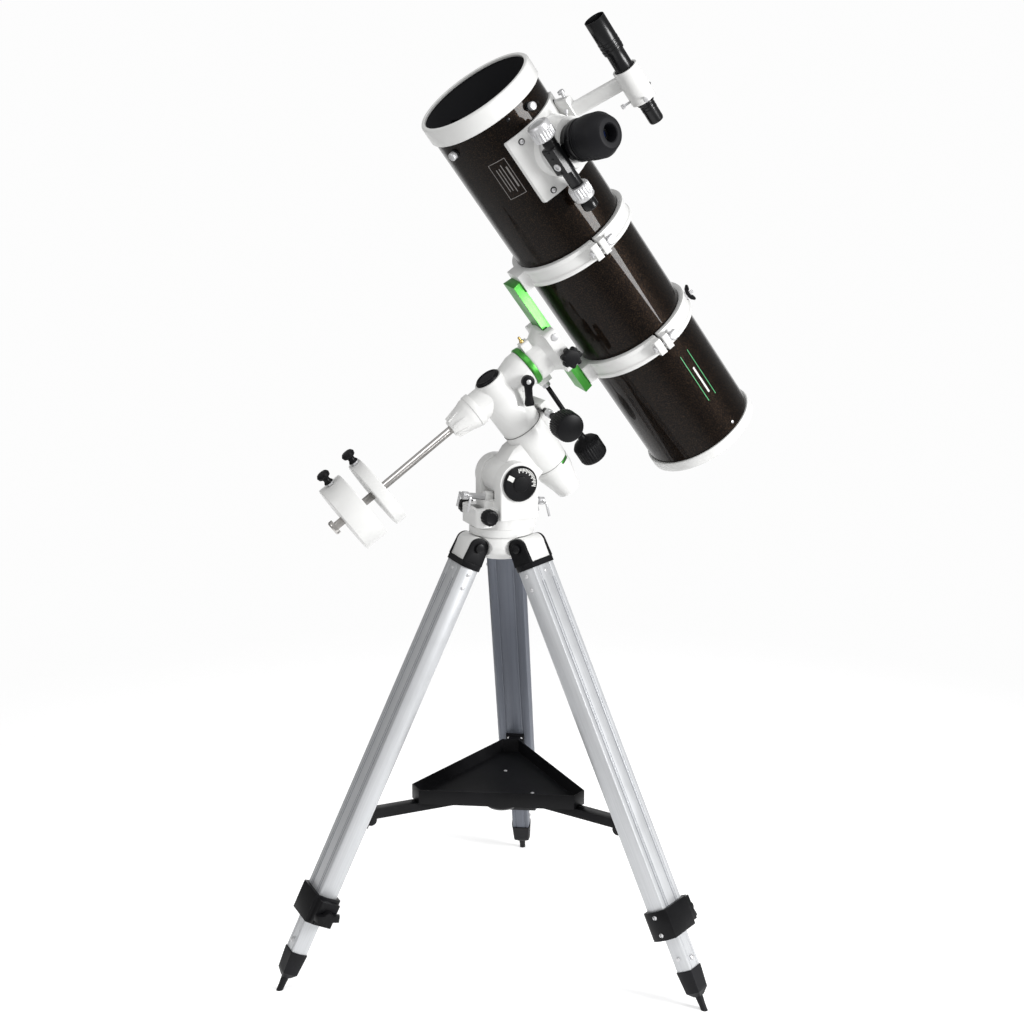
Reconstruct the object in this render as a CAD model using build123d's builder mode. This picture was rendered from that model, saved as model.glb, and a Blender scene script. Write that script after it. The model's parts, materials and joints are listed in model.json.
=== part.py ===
"""Newtonian telescope on an equatorial mount and a three-legged aluminium tripod.

Frame: Z is up, +Y is the horizontal direction the polar axis leans towards, millimetres.
The tripod's vertical axis stands at (CENTRE_X, CENTRE_Y).
"""

import os
from math import cos, radians, sin

from build123d import *

os.makedirs("parts", exist_ok=True)

# ---------------------------------------------------------------- driving dimensions
CENTRE_X = 0.0
CENTRE_Y = 19.26

# tripod
LEG_NAMES = ("north", "southeast", "southwest")
LEG_SPLAY = 25.84
LEG_TOP_RADIUS = 67.3
LEG_TOP_HEIGHT = 672.4
LEG_PIVOT = -36.0
UPPER_WIDTH = 64.0
UPPER_DEPTH = 31.0
UPPER_WALL = 2.0
UPPER_END = 583.0
LOWER_WIDTH = 33.0
LOWER_DEPTH = 26.4
LOWER_WALL = 2.5
GROOVE = 14.3
LOWER_START = 120.0
LOWER_END = 677.0
COLLAR_START = 571.0
COLLAR_END = 618.0
CLAMP_HEIGHT = 596.0
FOOT_SHOULDER = 714.0
FOOT_TIP_START = 723.0
FOOT_TIP_RADIUS = 5.2
KNOB_TURNS = (75.0, 0.0, 12.0)
LUG_HALF_WIDTH = 24.1
LUG_RADIUS = 16.0
EAR_RADIUS = 15.5
EAR_THICKNESS = 5.6
FORK_BAND = -9.0
HEAD_TOP = 722.0
TRAY_FLOOR = 284.0
TRAY_RIM = 308.0
TRAY_SIDE = 90.0
TRAY_CORNER = 154.0
ARM_BOTTOM = 269.0
ARM_TOP = 283.6
BRACKET_PLACE = 436.0

# mount
LATITUDE = 52.87
HOUR_ANGLE = -4.8
DEC_TURN = 2.04
AXES_HEIGHT = 938.2
DEC_AXIS = 13.0
PIVOT_Y = -9.0
PIVOT_Z = 808.3
CHEEK_RADIUS = 33.0
CHEEK_INNER = 26.8
CHEEK_OUTER = 50.0
BARREL_RADIUS = 31.0
BOLT_TILT = 9.2
BOLT_DROP = 34.0
LUG_HALF = 8.0
AZIMUTH_Y = 41.0
AZIMUTH_Z = 757.0

# counterweights
BAR_RADIUS = 6.5
BAR_END = -337.0
WEIGHT_RADIUS = 59.0
LARGE_WEIGHT = (-315.0, -274.5)
SMALL_WEIGHT = (-255.0, -235.0)
WEIGHT_SCREW_OUT = 82.0

# optical tube
TUBE_OFFSET = 238.5
TUBE_SHIFT = 49.8
TUBE_RADIUS = 91.0
TUBE_WALL = 1.2
TUBE_FRONT = 344.0
TUBE_REAR = -341.0
RING_WIDTH = 30.0
RING_FRONT = 69.5
RING_REAR = -121.0
RING_OUTER = 100.0
HINGE_Y = 107.5
BAR_PLATE = (112.2, 127.2)
BAR_PLATE_ENDS = (-92.0, 124.0)
FOCUSER_PLACE = 228.0
FOCUSER_ANGLE = 64.0
DRAWTUBE_RADIUS = 27.5
FOCUS_SHAFT_Y = 36.0
FOCUS_SHAFT_Z = 119.0
FINDER_ANGLE = 35.0
FINDER_REACH = 214.0

GAP = 0.3
RUNNING = 0.05


# ---------------------------------------------------------------- working planes
def spot(x, y, z):
    """Point given from the foot of the tripod's vertical axis."""
    return Vector(CENTRE_X + x, CENTRE_Y + y, z)


LAT = radians(LATITUDE)
HA = radians(HOUR_ANGLE)
DEC = radians(DEC_TURN)
POLE = Vector(0, cos(LAT), sin(LAT))
RISE = Vector(0, -sin(LAT), cos(LAT))
EAST = Vector(1, 0, 0)
DEC_DIR = RISE * cos(HA) + EAST * sin(HA)
TUBE_DIR = POLE * cos(DEC) + DEC_DIR.cross(POLE) * sin(DEC)
SIDE = DEC_DIR.cross(TUBE_DIR)
DEC_ORIGIN = spot(0, 0, AXES_HEIGHT) + POLE * DEC_AXIS
FOCUS_DIR = DEC_DIR * cos(radians(FOCUSER_ANGLE)) + SIDE * sin(radians(FOCUSER_ANGLE))
FINDER_DIR = DEC_DIR * cos(radians(FINDER_ANGLE)) + SIDE * sin(radians(FINDER_ANGLE))
TUBE_ORIGIN = DEC_ORIGIN + DEC_DIR * TUBE_OFFSET + TUBE_DIR * TUBE_SHIFT

ground = Plane(origin=spot(0, 0, 0), x_dir=EAST, z_dir=(0, 0, 1))
polar = Plane(origin=spot(0, 0, AXES_HEIGHT), x_dir=EAST, z_dir=POLE)
hub = Plane(origin=DEC_ORIGIN, x_dir=POLE, z_dir=DEC_DIR)
dec = Plane(origin=DEC_ORIGIN, x_dir=TUBE_DIR, z_dir=DEC_DIR)
ota = Plane(origin=TUBE_ORIGIN, x_dir=DEC_DIR, z_dir=TUBE_DIR)
focus = Plane(origin=TUBE_ORIGIN + TUBE_DIR * FOCUSER_PLACE, x_dir=TUBE_DIR, z_dir=FOCUS_DIR)


def sub_plane(base, point, x_dir, z_dir):
    """Plane placed and turned inside another plane's coordinates."""
    origin = base.from_local_coords(Vector(*point))
    here = base.from_local_coords(Vector(0, 0, 0))
    across = base.from_local_coords(Vector(*x_dir)) - here
    along = base.from_local_coords(Vector(*z_dir)) - here
    return Plane(origin=origin, x_dir=across, z_dir=along)


def leg_plane(index):
    """X is tangential, Z runs down the leg from the top of its extrusion."""
    azimuth = radians(120.0 * index)
    splay = radians(LEG_SPLAY)
    out_x = sin(azimuth)
    out_y = cos(azimuth)
    return Plane(
        origin=spot(LEG_TOP_RADIUS * out_x, LEG_TOP_RADIUS * out_y, LEG_TOP_HEIGHT),
        x_dir=(out_y, -out_x, 0),
        z_dir=(sin(splay) * out_x, sin(splay) * out_y, -cos(splay)),
    )


def spoke_plane(index, height):
    """X points outward along a leg's azimuth, Z is up."""
    azimuth = radians(120.0 * index)
    return Plane(
        origin=spot(0, 0, height), x_dir=(sin(azimuth), cos(azimuth), 0), z_dir=(0, 0, 1)
    )


# ---------------------------------------------------------------- shape helpers
def rod(plane, radius, start, end, mode=Mode.ADD, at=(0, 0)):
    """Round bar along the plane's normal."""
    with BuildSketch(plane.offset(start)) as face:
        with Locations(at):
            Circle(radius)
    extrude(face.sketch, amount=end - start, mode=mode)


def block(plane, width, depth, start, end, mode=Mode.ADD, at=(0, 0), corner=0):
    """Rectangular bar along the plane's normal, with rounded edges if corner is given."""
    with BuildSketch(plane.offset(start)) as face:
        with Locations(at):
            if corner:
                RectangleRounded(width, depth, corner)
            else:
                Rectangle(width, depth)
    extrude(face.sketch, amount=end - start, mode=mode)


def turned(plane, stations, mode=Mode.ADD):
    """Solid of revolution about the plane's normal from (radius, height) stations."""
    half = Plane(origin=plane.origin, x_dir=plane.x_dir, z_dir=-plane.y_dir)
    with BuildSketch(half) as face:
        with BuildLine():
            Polyline(*stations, close=True)
        make_face()
    revolve(face.sketch, axis=Axis(plane.origin, plane.z_dir), mode=mode)


def prism(plane, points, start, end, mode=Mode.ADD):
    """Straight bar with a polygonal section."""
    with BuildSketch(plane.offset(start)) as face:
        with BuildLine():
            Polyline(*points, close=True)
        make_face()
    extrude(face.sketch, amount=end - start, mode=mode)


def oval_section(plane, width, depth):
    """Section with two flat faces and two gently rounded edges."""
    bulge = 5.0 * width / UPPER_WIDTH
    flat = width / 2 - bulge
    side = depth / 2
    with BuildSketch(plane) as face:
        with BuildLine():
            Line((-flat, side), (flat, side))
            ThreePointArc((flat, side), (width / 2, 0), (flat, -side))
            Line((flat, -side), (-flat, -side))
            ThreePointArc((-flat, -side), (-width / 2, 0), (-flat, side))
        make_face()
    return face.sketch


def oval_bar(plane, width, depth, start, end, mode=Mode.ADD):
    """Leg-shaped bar along the plane's normal."""
    extrude(oval_section(plane.offset(start), width, depth), amount=end - start, mode=mode)


def save(builder, name):
    """Label a finished piece and write it out."""
    builder.part.label = name
    export_step(builder.part, "parts/" + name + ".step")


# ---------------------------------------------------------------- tripod
HEAD_CUT = 44.0
with BuildPart() as tripod_head:
    turned(
        ground,
        [(0, 684), (38, 684), (50, 694), (54, 706), (51, 717), (48, HEAD_TOP), (0, HEAD_TOP)],
    )
    for i in range(3):
        leg = leg_plane(i)
        hinge = sub_plane(leg, (0, 0, LEG_PIVOT), (0, 1, 0), (1, 0, 0))
        rod(hinge, LUG_RADIUS + 1.5, -HEAD_CUT, HEAD_CUT, Mode.SUBTRACT)
        block(leg, 2 * HEAD_CUT, 36, LEG_PIVOT, 0, Mode.SUBTRACT)
    for i in range(3):
        leg = leg_plane(i)
        hinge = sub_plane(leg, (0, 0, LEG_PIVOT), (0, 1, 0), (1, 0, 0))
        block(leg, 2 * LUG_HALF_WIDTH, 31, LEG_PIVOT, FORK_BAND - 0.6)
        rod(hinge, LUG_RADIUS, -LUG_HALF_WIDTH, LUG_HALF_WIDTH)
        block(spoke_plane(i, 0), 40, 2 * LUG_HALF_WIDTH, 686, 717, at=(33, 0))
    for i in range(3):
        leg = leg_plane(i)
        hinge = sub_plane(leg, (0, 0, LEG_PIVOT), (0, 1, 0), (1, 0, 0))
        rod(hinge, 4.2, -60, 60, Mode.SUBTRACT)
    rod(ground, 20.0, 712, 730, Mode.SUBTRACT)
    block(ground, 7, 8, HEAD_TOP - 4, 760, at=(0, AZIMUTH_Y))
save(tripod_head, "tripod_head")

with BuildPart() as leg_forks:
    for i in range(3):
        leg = leg_plane(i)
        hinge = sub_plane(leg, (0, 0, LEG_PIVOT), (0, 1, 0), (1, 0, 0))
        oval_bar(leg, UPPER_WIDTH + 3, UPPER_DEPTH + 3, FORK_BAND, -0.1)
        oval_bar(leg, UPPER_WIDTH - 8, UPPER_DEPTH - 6, -5, 40)
        ear_plane = sub_plane(leg, (0, 0, 0), (0, 1, 0), (1, 0, 0))
        ear = [(-17, FORK_BAND), (17, FORK_BAND), (EAR_RADIUS, LEG_PIVOT), (-EAR_RADIUS, LEG_PIVOT)]
        for side in (-1, 1):
            start = side * (LUG_HALF_WIDTH + GAP + EAR_THICKNESS / 2) - EAR_THICKNESS / 2
            prism(ear_plane, ear, start, start + EAR_THICKNESS)
            rod(hinge, EAR_RADIUS, start, start + EAR_THICKNESS)
        rod(hinge, 4.2, -60, 60, Mode.SUBTRACT)
save(leg_forks, "leg_forks")

with BuildPart() as leg_pivot_bolts:
    for i in range(3):
        leg = leg_plane(i)
        hinge = sub_plane(leg, (0, 0, LEG_PIVOT), (0, 1, 0), (1, 0, 0))
        reach = LUG_HALF_WIDTH + GAP + EAR_THICKNESS + 0.1
        rod(hinge, 4.0, -reach - 1, reach + 1)
        rod(hinge, 7.0, reach, reach + 4)
        rod(hinge, 7.0, -reach - 4, -reach)
save(leg_pivot_bolts, "leg_pivot_bolts")

with BuildPart() as leg_uppers:
    for i in range(3):
        leg = leg_plane(i)
        oval_bar(leg, UPPER_WIDTH, UPPER_DEPTH, 0, UPPER_END)
        inner_width = UPPER_WIDTH - 2 * UPPER_WALL
        inner_depth = UPPER_DEPTH - 2 * UPPER_WALL
        oval_bar(leg, inner_width, inner_depth, -1, UPPER_END + 1, Mode.SUBTRACT)
        for side in (-1, 1):
            for face in (-1, 1):
                spot_on_face = (side * GROOVE, face * UPPER_DEPTH / 2)
                block(leg, 2.6, 2.0, -1, UPPER_END + 1, Mode.SUBTRACT, at=spot_on_face)
save(leg_uppers, "leg_uppers")

with BuildPart() as leg_clamps:
    for i in range(3):
        leg = leg_plane(i)
        clamp = sub_plane(leg, (0, 0, CLAMP_HEIGHT), (0, 1, 0), (-1, 0, 0))
        oval_bar(leg, UPPER_WIDTH + 7, UPPER_DEPTH + 13, COLLAR_START, COLLAR_END)
        block(leg, 22, 34, COLLAR_START + 4, COLLAR_END - 4, at=(-37, 0), corner=3)
        oval_bar(
            leg, UPPER_WIDTH + 2 * GAP, UPPER_DEPTH + 2 * GAP, COLLAR_START - 1, UPPER_END + GAP,
            Mode.SUBTRACT,
        )
        oval_bar(
            leg, LOWER_WIDTH + 2 * GAP, LOWER_DEPTH + 2 * GAP, COLLAR_START, COLLAR_END + 1,
            Mode.SUBTRACT,
        )
        rod(clamp, 3.0 + RUNNING, LOWER_WIDTH / 2, 50, Mode.SUBTRACT)
save(leg_clamps, "leg_clamps")

for i, place in enumerate(LEG_NAMES):
    leg = leg_plane(i)
    clamp = sub_plane(leg, (0, 0, CLAMP_HEIGHT), (0, 1, 0), (-1, 0, 0))

    with BuildPart() as leg_lower:
        oval_bar(leg, LOWER_WIDTH, LOWER_DEPTH, LOWER_START, LOWER_END)
        inner_width = LOWER_WIDTH - 2 * LOWER_WALL
        inner_depth = LOWER_DEPTH - 2 * LOWER_WALL
        oval_bar(leg, inner_width, inner_depth, LOWER_START - 1, LOWER_END + 1, Mode.SUBTRACT)
        for side in (-1, 1):
            for face in (-1, 1):
                spot_on_face = (side * 8.5, face * LOWER_DEPTH / 2)
                block(leg, 2.0, 1.6, LOWER_START - 1, LOWER_END + 1, Mode.SUBTRACT, at=spot_on_face)
    save(leg_lower, "leg_lower_" + place)

    with BuildPart() as foot:
        top = oval_section(leg.offset(LOWER_END + 0.1), LOWER_WIDTH + 2.5, LOWER_DEPTH + 2.5)
        shoulder = oval_section(leg.offset(FOOT_SHOULDER), LOWER_WIDTH - 2, LOWER_DEPTH - 1.4)
        neck_edge = oval_section(leg.offset(FOOT_TIP_START), 14, 13)
        loft([top.face(), shoulder.face()])
        loft([shoulder.face(), neck_edge.face()])
        oval_bar(leg, inner_width - 0.6, inner_depth - 0.6, LOWER_END - 22, LOWER_END + 2)
        turned(
            leg,
            [(0, FOOT_SHOULDER), (6.6, FOOT_SHOULDER), (6.3, FOOT_TIP_START),
             (FOOT_TIP_RADIUS, 738), (FOOT_TIP_RADIUS, 760), (0, 760)],
        )
        block(ground, 2000, 2000, -60, 0, Mode.SUBTRACT)
    save(foot, "foot_" + place)

    with BuildPart() as leg_knob:
        rod(clamp, 3.0, LOWER_WIDTH / 2 + 0.8, 56)
        turned(clamp, [(0, 48.6), (8, 48.6), (10, 51), (9, 60), (0, 60)])
        wing = [(50.5, -21), (61, -18), (61.5, -9), (59, 0), (61.5, 9), (61, 18), (50.5, 21)]
        turn = radians(KNOB_TURNS[i])
        flat = (0, cos(turn), sin(turn))
        prism(sub_plane(leg, (0, 0, CLAMP_HEIGHT), (-1, 0, 0), flat), wing, -5, 5)
    save(leg_knob, "leg_knob_" + place)

with BuildPart() as spreader_hub:
    turned(
        ground,
        [(0, 250), (24, 250), (30, 255), (32, 262), (32, ARM_BOTTOM - 0.2), (0, ARM_BOTTOM - 0.2)],
    )
save(spreader_hub, "spreader_hub")

with BuildPart() as spreader_arms:
    rod(ground, 34, ARM_BOTTOM, ARM_TOP)
    for i in range(3):
        leg = leg_plane(i)
        spoke = spoke_plane(i, 0)
        inner_face = UPPER_DEPTH / 2 + 0.2
        knuckle = sub_plane(leg, (0, inner_face + 9, BRACKET_PLACE), (0, 1, 0), (1, 0, 0))
        block(spoke, 219, 20, ARM_BOTTOM, ARM_TOP, at=(124, 0))
        block(spoke, 190, 15, ARM_BOTTOM - 1, ARM_TOP - 2, Mode.SUBTRACT, at=(132, 0))
        block(leg, 32, 7, BRACKET_PLACE - 16, BRACKET_PLACE + 14, at=(0, inner_face + 3.5))
        rod(knuckle, 9, -14, 14)
save(spreader_arms, "spreader_arms")


def tray_outline(inset):
    """Corner points of the tray's truncated triangle."""
    side = TRAY_SIDE - inset
    corner = TRAY_CORNER - inset
    half = (side - corner * cos(radians(60))) / sin(radians(60))
    points = []
    for i in range(3):
        azimuth = radians(120.0 * i)
        for turn in (-half, half):
            x = corner * sin(azimuth) + turn * cos(azimuth)
            y = corner * cos(azimuth) - turn * sin(azimuth)
            points.append((x, y))
    return points


with BuildPart() as accessory_tray:
    prism(ground, tray_outline(0), TRAY_FLOOR, TRAY_RIM)
    prism(ground, tray_outline(1.6), TRAY_FLOOR + 1.8, TRAY_RIM + 1, Mode.SUBTRACT)
save(accessory_tray, "accessory_tray")

# ---------------------------------------------------------------- mount base
bolt_plane = Plane(
    origin=spot(
        0,
        PIVOT_Y + BOLT_DROP * sin(radians(BOLT_TILT)),
        PIVOT_Z - BOLT_DROP * cos(radians(BOLT_TILT)),
    ),
    x_dir=EAST,
    z_dir=(0, cos(radians(BOLT_TILT)), sin(radians(BOLT_TILT))),
)
across = Plane(origin=spot(0, PIVOT_Y, PIVOT_Z), x_dir=(0, 1, 0), z_dir=EAST)
azimuth_axis = Plane(origin=spot(0, AZIMUTH_Y, AZIMUTH_Z), x_dir=(0, 1, 0), z_dir=EAST)

with BuildPart() as mount_base:
    rod(ground, 52, HEAD_TOP + GAP, 734)
    rod(ground, 47, 733, 752, at=(0, 0))
    block(ground, 92, 84, 734, 766, at=(0, -7), corner=26)
    block(ground, 76, 29, 738, 766, at=(0, 41.5), corner=14)
    block(ground, 2 * CHEEK_OUTER, 2 * CHEEK_RADIUS, 750, PIVOT_Z, at=(0, PIVOT_Y), corner=3)
    rod(across, CHEEK_RADIUS, -CHEEK_OUTER, CHEEK_OUTER)
    block(ground, 40, 90, 752, 776, at=(0, -8), corner=6)
    block(ground, 2 * CHEEK_INNER, 90, 777, 860, Mode.SUBTRACT, at=(0, -8))
    rod(bolt_plane, 9.5, 22, 34)
    rod(bolt_plane, 9.5, -47, -30)
    rod(across, BARREL_RADIUS + 1.0, -CHEEK_INNER, CHEEK_INNER, Mode.SUBTRACT)
    block(ground, 27, 46, 755, 790, Mode.SUBTRACT, at=(0, PIVOT_Y + 3))
    rod(across, 8.0, -CHEEK_OUTER - 1, CHEEK_OUTER + 1, Mode.SUBTRACT)
    rod(bolt_plane, 5.0 + RUNNING, -80, 80, Mode.SUBTRACT)
    block(ground, 30, 15, 700, 766, Mode.SUBTRACT, at=(0, AZIMUTH_Y))
    rod(azimuth_axis, 4.0 + RUNNING, -60, 60, Mode.SUBTRACT)
    rod(ground, 20.0 - RUNNING, 712.3, HEAD_TOP + 3)
save(mount_base, "mount_base")

for name, side in (("azimuth_knob_west", -1), ("azimuth_knob_east", 1)):
    with BuildPart() as azimuth_knob:
        out = Plane(origin=azimuth_axis.origin, x_dir=(0, 1, 0), z_dir=EAST * side)
        rod(out, 4.0, 9.0, 45)
        turned(out, [(0, 38.4), (11, 38.4), (13, 41), (13, 52), (11, 55), (0, 55)])
    save(azimuth_knob, name)

for name, side in (("latitude_bolt_north", 1), ("latitude_bolt_south", -1)):
    with BuildPart() as latitude_bolt:
        out = Plane(origin=bolt_plane.origin, x_dir=EAST, z_dir=bolt_plane.z_dir * side)
        tip = LUG_HALF + 1.0
        turned(
            out,
            [(0, tip), (1, tip), (2.8, tip + 2), (2.8, tip + 9), (5, tip + 11), (5, 63), (6.5, 63),
             (6.5, 72), (0, 72)],
        )
        end = out.from_local_coords(Vector(0, 0, 67))
        cross = Plane(origin=end, x_dir=(0, 1, 0), z_dir=EAST)
        rod(cross, 2.2, -22, 22)
        for tip_side in (-1, 1):
            drop = Plane(origin=end + EAST * 21 * tip_side, x_dir=EAST, z_dir=(0, side * 0.25, -1))
            rod(drop, 2.0, 0, 22)
    save(latitude_bolt, name)

with BuildPart() as latitude_dial:
    turned(
        Plane(origin=across.origin, x_dir=(0, 1, 0), z_dir=-EAST),
        [(0, 50.3), (28.5, 50.3), (28.5, 54), (26, 56), (0, 56)],
    )
save(latitude_dial, "latitude_dial")

# ---------------------------------------------------------------- polar axis
RA_END = -59.9
with BuildPart() as ra_housing:
    turned(
        polar,
        [(0, RA_END - 0.2), (33.5, RA_END - 0.2), (34, -70), (33.5, -120), (31, -139.8),
         (22, -139.8), (22, -146.0), (0, -146.0)],
    )
    rod(across, BARREL_RADIUS, -CHEEK_INNER + GAP, CHEEK_INNER - GAP)
    neck = sub_plane(polar, (0, 0, 0), (0, 0, 1), (1, 0, 0))
    prism(neck, [(-132, 0), (-138, -40), (-130, -69), (-82, -69), (-72, -40), (-74, 0)], -22, 22)
    rod(across, 8.0 - RUNNING, -50.2, 50.2)
    lug = Plane(origin=across.origin, x_dir=EAST, z_dir=bolt_plane.y_dir)
    block(lug, 22, 2 * LUG_HALF, 0, 43)
    block(neck, 25, 24, -20, 26, at=(-73, 40), corner=4)
    block(neck, 40, 15, -20, 26, at=(-66, 44.5), corner=4)
    rod(polar, 15.0, -131, -50, Mode.SUBTRACT)
    worm = sub_plane(polar, (-5, -41, -56), (0, 1, 0), (-0.987, 0.083, -0.13))
    rod(worm, 4.0 + RUNNING, 0, 30, Mode.SUBTRACT)
save(ra_housing, "ra_housing")

with BuildPart() as ra_circle:
    rod(polar, 29.0, -145.8, -140.1)
    rod(polar, 22.0 + RUNNING, -150, -130, Mode.SUBTRACT)
save(ra_circle, "ra_circle")

WINDOW_TURN = radians(215.0)
with BuildPart() as polar_cap:
    turned(polar, [(0, -146.2), (31, -146.2), (30, -158), (24, -180), (20, -199), (0, -199)])
    turned(polar, [(29.3, -146.3), (31, -146.3), (31, -140.2), (29.3, -140.2)])
    window = sub_plane(polar, (0, 0, -145.9), (cos(WINDOW_TURN), sin(WINDOW_TURN), 0), (0, 0, 1))
    block(window, 12, 20, 0, 6, Mode.SUBTRACT, at=(32, 0))
save(polar_cap, "polar_cap")

with BuildPart() as ra_knob:
    rod(worm, 4.0, 10, 80)
    rod(worm, 7.0, 28, 42)
    turned(worm, [(0, 76), (19, 76), (24, 80), (24, 104), (22, 108), (0, 108)])
save(ra_knob, "ra_knob")

# ---------------------------------------------------------------- declination housing
with BuildPart() as dec_housing:
    turned(
        polar,
        [(0, RA_END), (33, RA_END), (34, -50), (34, 0), (27, 30), (24, 38.3), (0, 38.3)],
    )
    turned(
        hub,
        [(0, -41), (25, -41), (25, 20), (31.5, 44), (31.5, 57.8), (0, 57.8)],
    )
    rod(polar, 15.0 - RUNNING, -130.5, RA_END + 1)
    rod(hub, 12.0, 4, 60, Mode.SUBTRACT)
    lever_post = sub_plane(hub, (-4, 0, 42), (1, 0, 0), (0, 1, 0))
    rod(lever_post, 8.0, 20, 37.7)
    rod(lever_post, 2.5 + RUNNING, 30, 39, Mode.SUBTRACT)
save(dec_housing, "dec_housing")

with BuildPart() as front_cap:
    turned(polar, [(0, 38.4), (21, 38.4), (21, 40.5), (19, 42.5), (0, 42.5)])
save(front_cap, "front_cap")

with BuildPart() as ra_clutch:
    rod(lever_post, 2.5, 31, 40)
    rod(lever_post, 10.0, 38, 46)
    lean = radians(31.4)
    outline = []
    for side in (1, -1):
        edge = [(0, 8.0), (12, 5.6), (25, 5.4), (35, 7.2), (39, 6.0)]
        for reach, half in edge[::side]:
            outline.append(
                (-reach * sin(lean) + side * half * cos(lean),
                 -reach * cos(lean) - side * half * sin(lean))
            )
    prism(sub_plane(hub, (-4, 0, 42), (0, 0, 1), (0, 1, 0)), outline, 39, 45)
save(ra_clutch, "ra_clutch")

with BuildPart() as counterweight_collar:
    turned(
        hub,
        [(6.6, -41.2), (28, -41.2), (28, -51), (26.5, -52), (26.5, -57), (15, -90), (13, -94),
         (6.6, -94)],
    )
    fin = [(11, -58), (25, -58), (18.5, -91), (11, -91)]
    for i in range(8):
        angle = radians(45.0 * i + 22.5)
        fin_plane = sub_plane(hub, (0, 0, 0), (cos(angle), sin(angle), 0), (sin(angle), -cos(angle), 0))
        prism(fin_plane, fin, -1.6, 1.6)
save(counterweight_collar, "counterweight_collar")

with BuildPart() as counterweight_bar:
    rod(hub, BAR_RADIUS, -330, -41.3)
    turned(hub, [(0, BAR_END), (10, BAR_END), (12, BAR_END + 2), (12, -329), (0, -329)])
save(counterweight_bar, "counterweight_bar")

for name, span in (("large", LARGE_WEIGHT), ("small", SMALL_WEIGHT)):
    middle = (span[0] + span[1]) / 2
    thumb = sub_plane(hub, (0, 0, middle), (0, 0, 1), (1, 0, 0))
    with BuildPart() as weight:
        turned(
            hub,
            [(6.8, span[0]), (WEIGHT_RADIUS - 1.2, span[0]), (WEIGHT_RADIUS, span[0] + 1.2),
             (WEIGHT_RADIUS, span[1] - 1.2), (WEIGHT_RADIUS - 1.2, span[1]), (6.8, span[1])],
        )
        rod(thumb, 3.0 + RUNNING, 4, 70, Mode.SUBTRACT)
    save(weight, "counterweight_" + name)

    with BuildPart() as weight_screw:
        rod(thumb, 3.0, 6.8, 66)
        turned(
            thumb,
            [(0, 64), (8, 64), (5.5, 68), (5.5, 72), (10, 75), (11, 79), (9, WEIGHT_SCREW_OUT),
             (0, WEIGHT_SCREW_OUT)],
        )
    save(weight_screw, "weight_screw_" + name)

# ---------------------------------------------------------------- saddle
SLOW_Y = -46.0
SLOW_Z = 75.0
with BuildPart() as saddle:
    turned(
        dec,
        [(0, 58.2), (20, 58.2), (20, 68.2), (31, 68.2), (33, 72), (33, 92), (38, 100),
         (43, 106), (43, 112), (0, 112)],
    )
    rod(dec, 12.0 - RUNNING, 5, 60)
    block(dec, 76, 84, 104, 124, corner=8)
    block(dec, 100, 44.8, BAR_PLATE[0] - GAP, 130, Mode.SUBTRACT)
    block(dec, 44, 30, 69, 90, at=(-37, -42), corner=4)
    block(dec, 16, 16, 69, 84, at=(34, 12), corner=3)
    slow = sub_plane(dec, (-59, SLOW_Y, SLOW_Z + 4), (0, 1, 0), (-1, 0, -0.02))
    rod(slow, 4.0 + RUNNING, -15, 10, Mode.SUBTRACT)
    jaw = sub_plane(dec, (-14, 0, 118), (1, 0, 0), (0, 1, 0))
    rod(jaw, 3.0 + RUNNING, 20, 50, Mode.SUBTRACT)
save(saddle, "saddle")

with BuildPart() as dec_circle:
    turned(
        dec,
        [(20.05, 58.4), (33, 58.4), (34, 60), (33, 67.9), (20.05, 67.9)],
    )
save(dec_circle, "dec_circle")

with BuildPart() as saddle_knob:
    rod(jaw, 3.0, 23, 50)
    rod(jaw, 8.0, 43, 50)
    with BuildSketch(jaw.offset(48)) as star:
        Circle(13)
        with PolarLocations(12.5, 7):
            Circle(4.6)
    extrude(star.sketch, amount=10)
save(saddle_knob, "saddle_knob")

with BuildPart() as dec_knob:
    rod(slow, 4.0, -14, 124)
    rod(slow, 7.0, 1.6, 12)
    turned(
        slow,
        [(0, 118), (6, 118), (7.5, 126), (13, 130), (20, 134), (24, 139), (24, 165), (21, 170),
         (0, 170)],
    )
save(dec_knob, "dec_knob")

# ---------------------------------------------------------------- tube rings and plate
with BuildPart() as dovetail_bar:
    length = BAR_PLATE_ENDS[1] - BAR_PLATE_ENDS[0]
    middle = (BAR_PLATE_ENDS[1] + BAR_PLATE_ENDS[0]) / 2
    end_plane = sub_plane(dec, (middle - length / 2, 0, 0), (0, 1, 0), (1, 0, 0))
    low, high = BAR_PLATE
    prism(end_plane, [(-22, low), (22, low), (17.5, high), (-17.5, high)], 0, length)
save(dovetail_bar, "dovetail_bar")

MOUNT_FACE = BAR_PLATE[1] - TUBE_OFFSET
LUG_GAP = 2.2


def grooved_ring(start, end):
    """Ring with a shallow channel round its outside, before it is split."""
    floor = RING_OUTER - 2.6
    rod(ota, RING_OUTER, start, end)
    turned(
        ota,
        [(floor, start + 7), (RING_OUTER + 1, start + 5), (RING_OUTER + 1, end - 5), (floor, end - 7)],
        Mode.SUBTRACT,
    )


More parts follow.
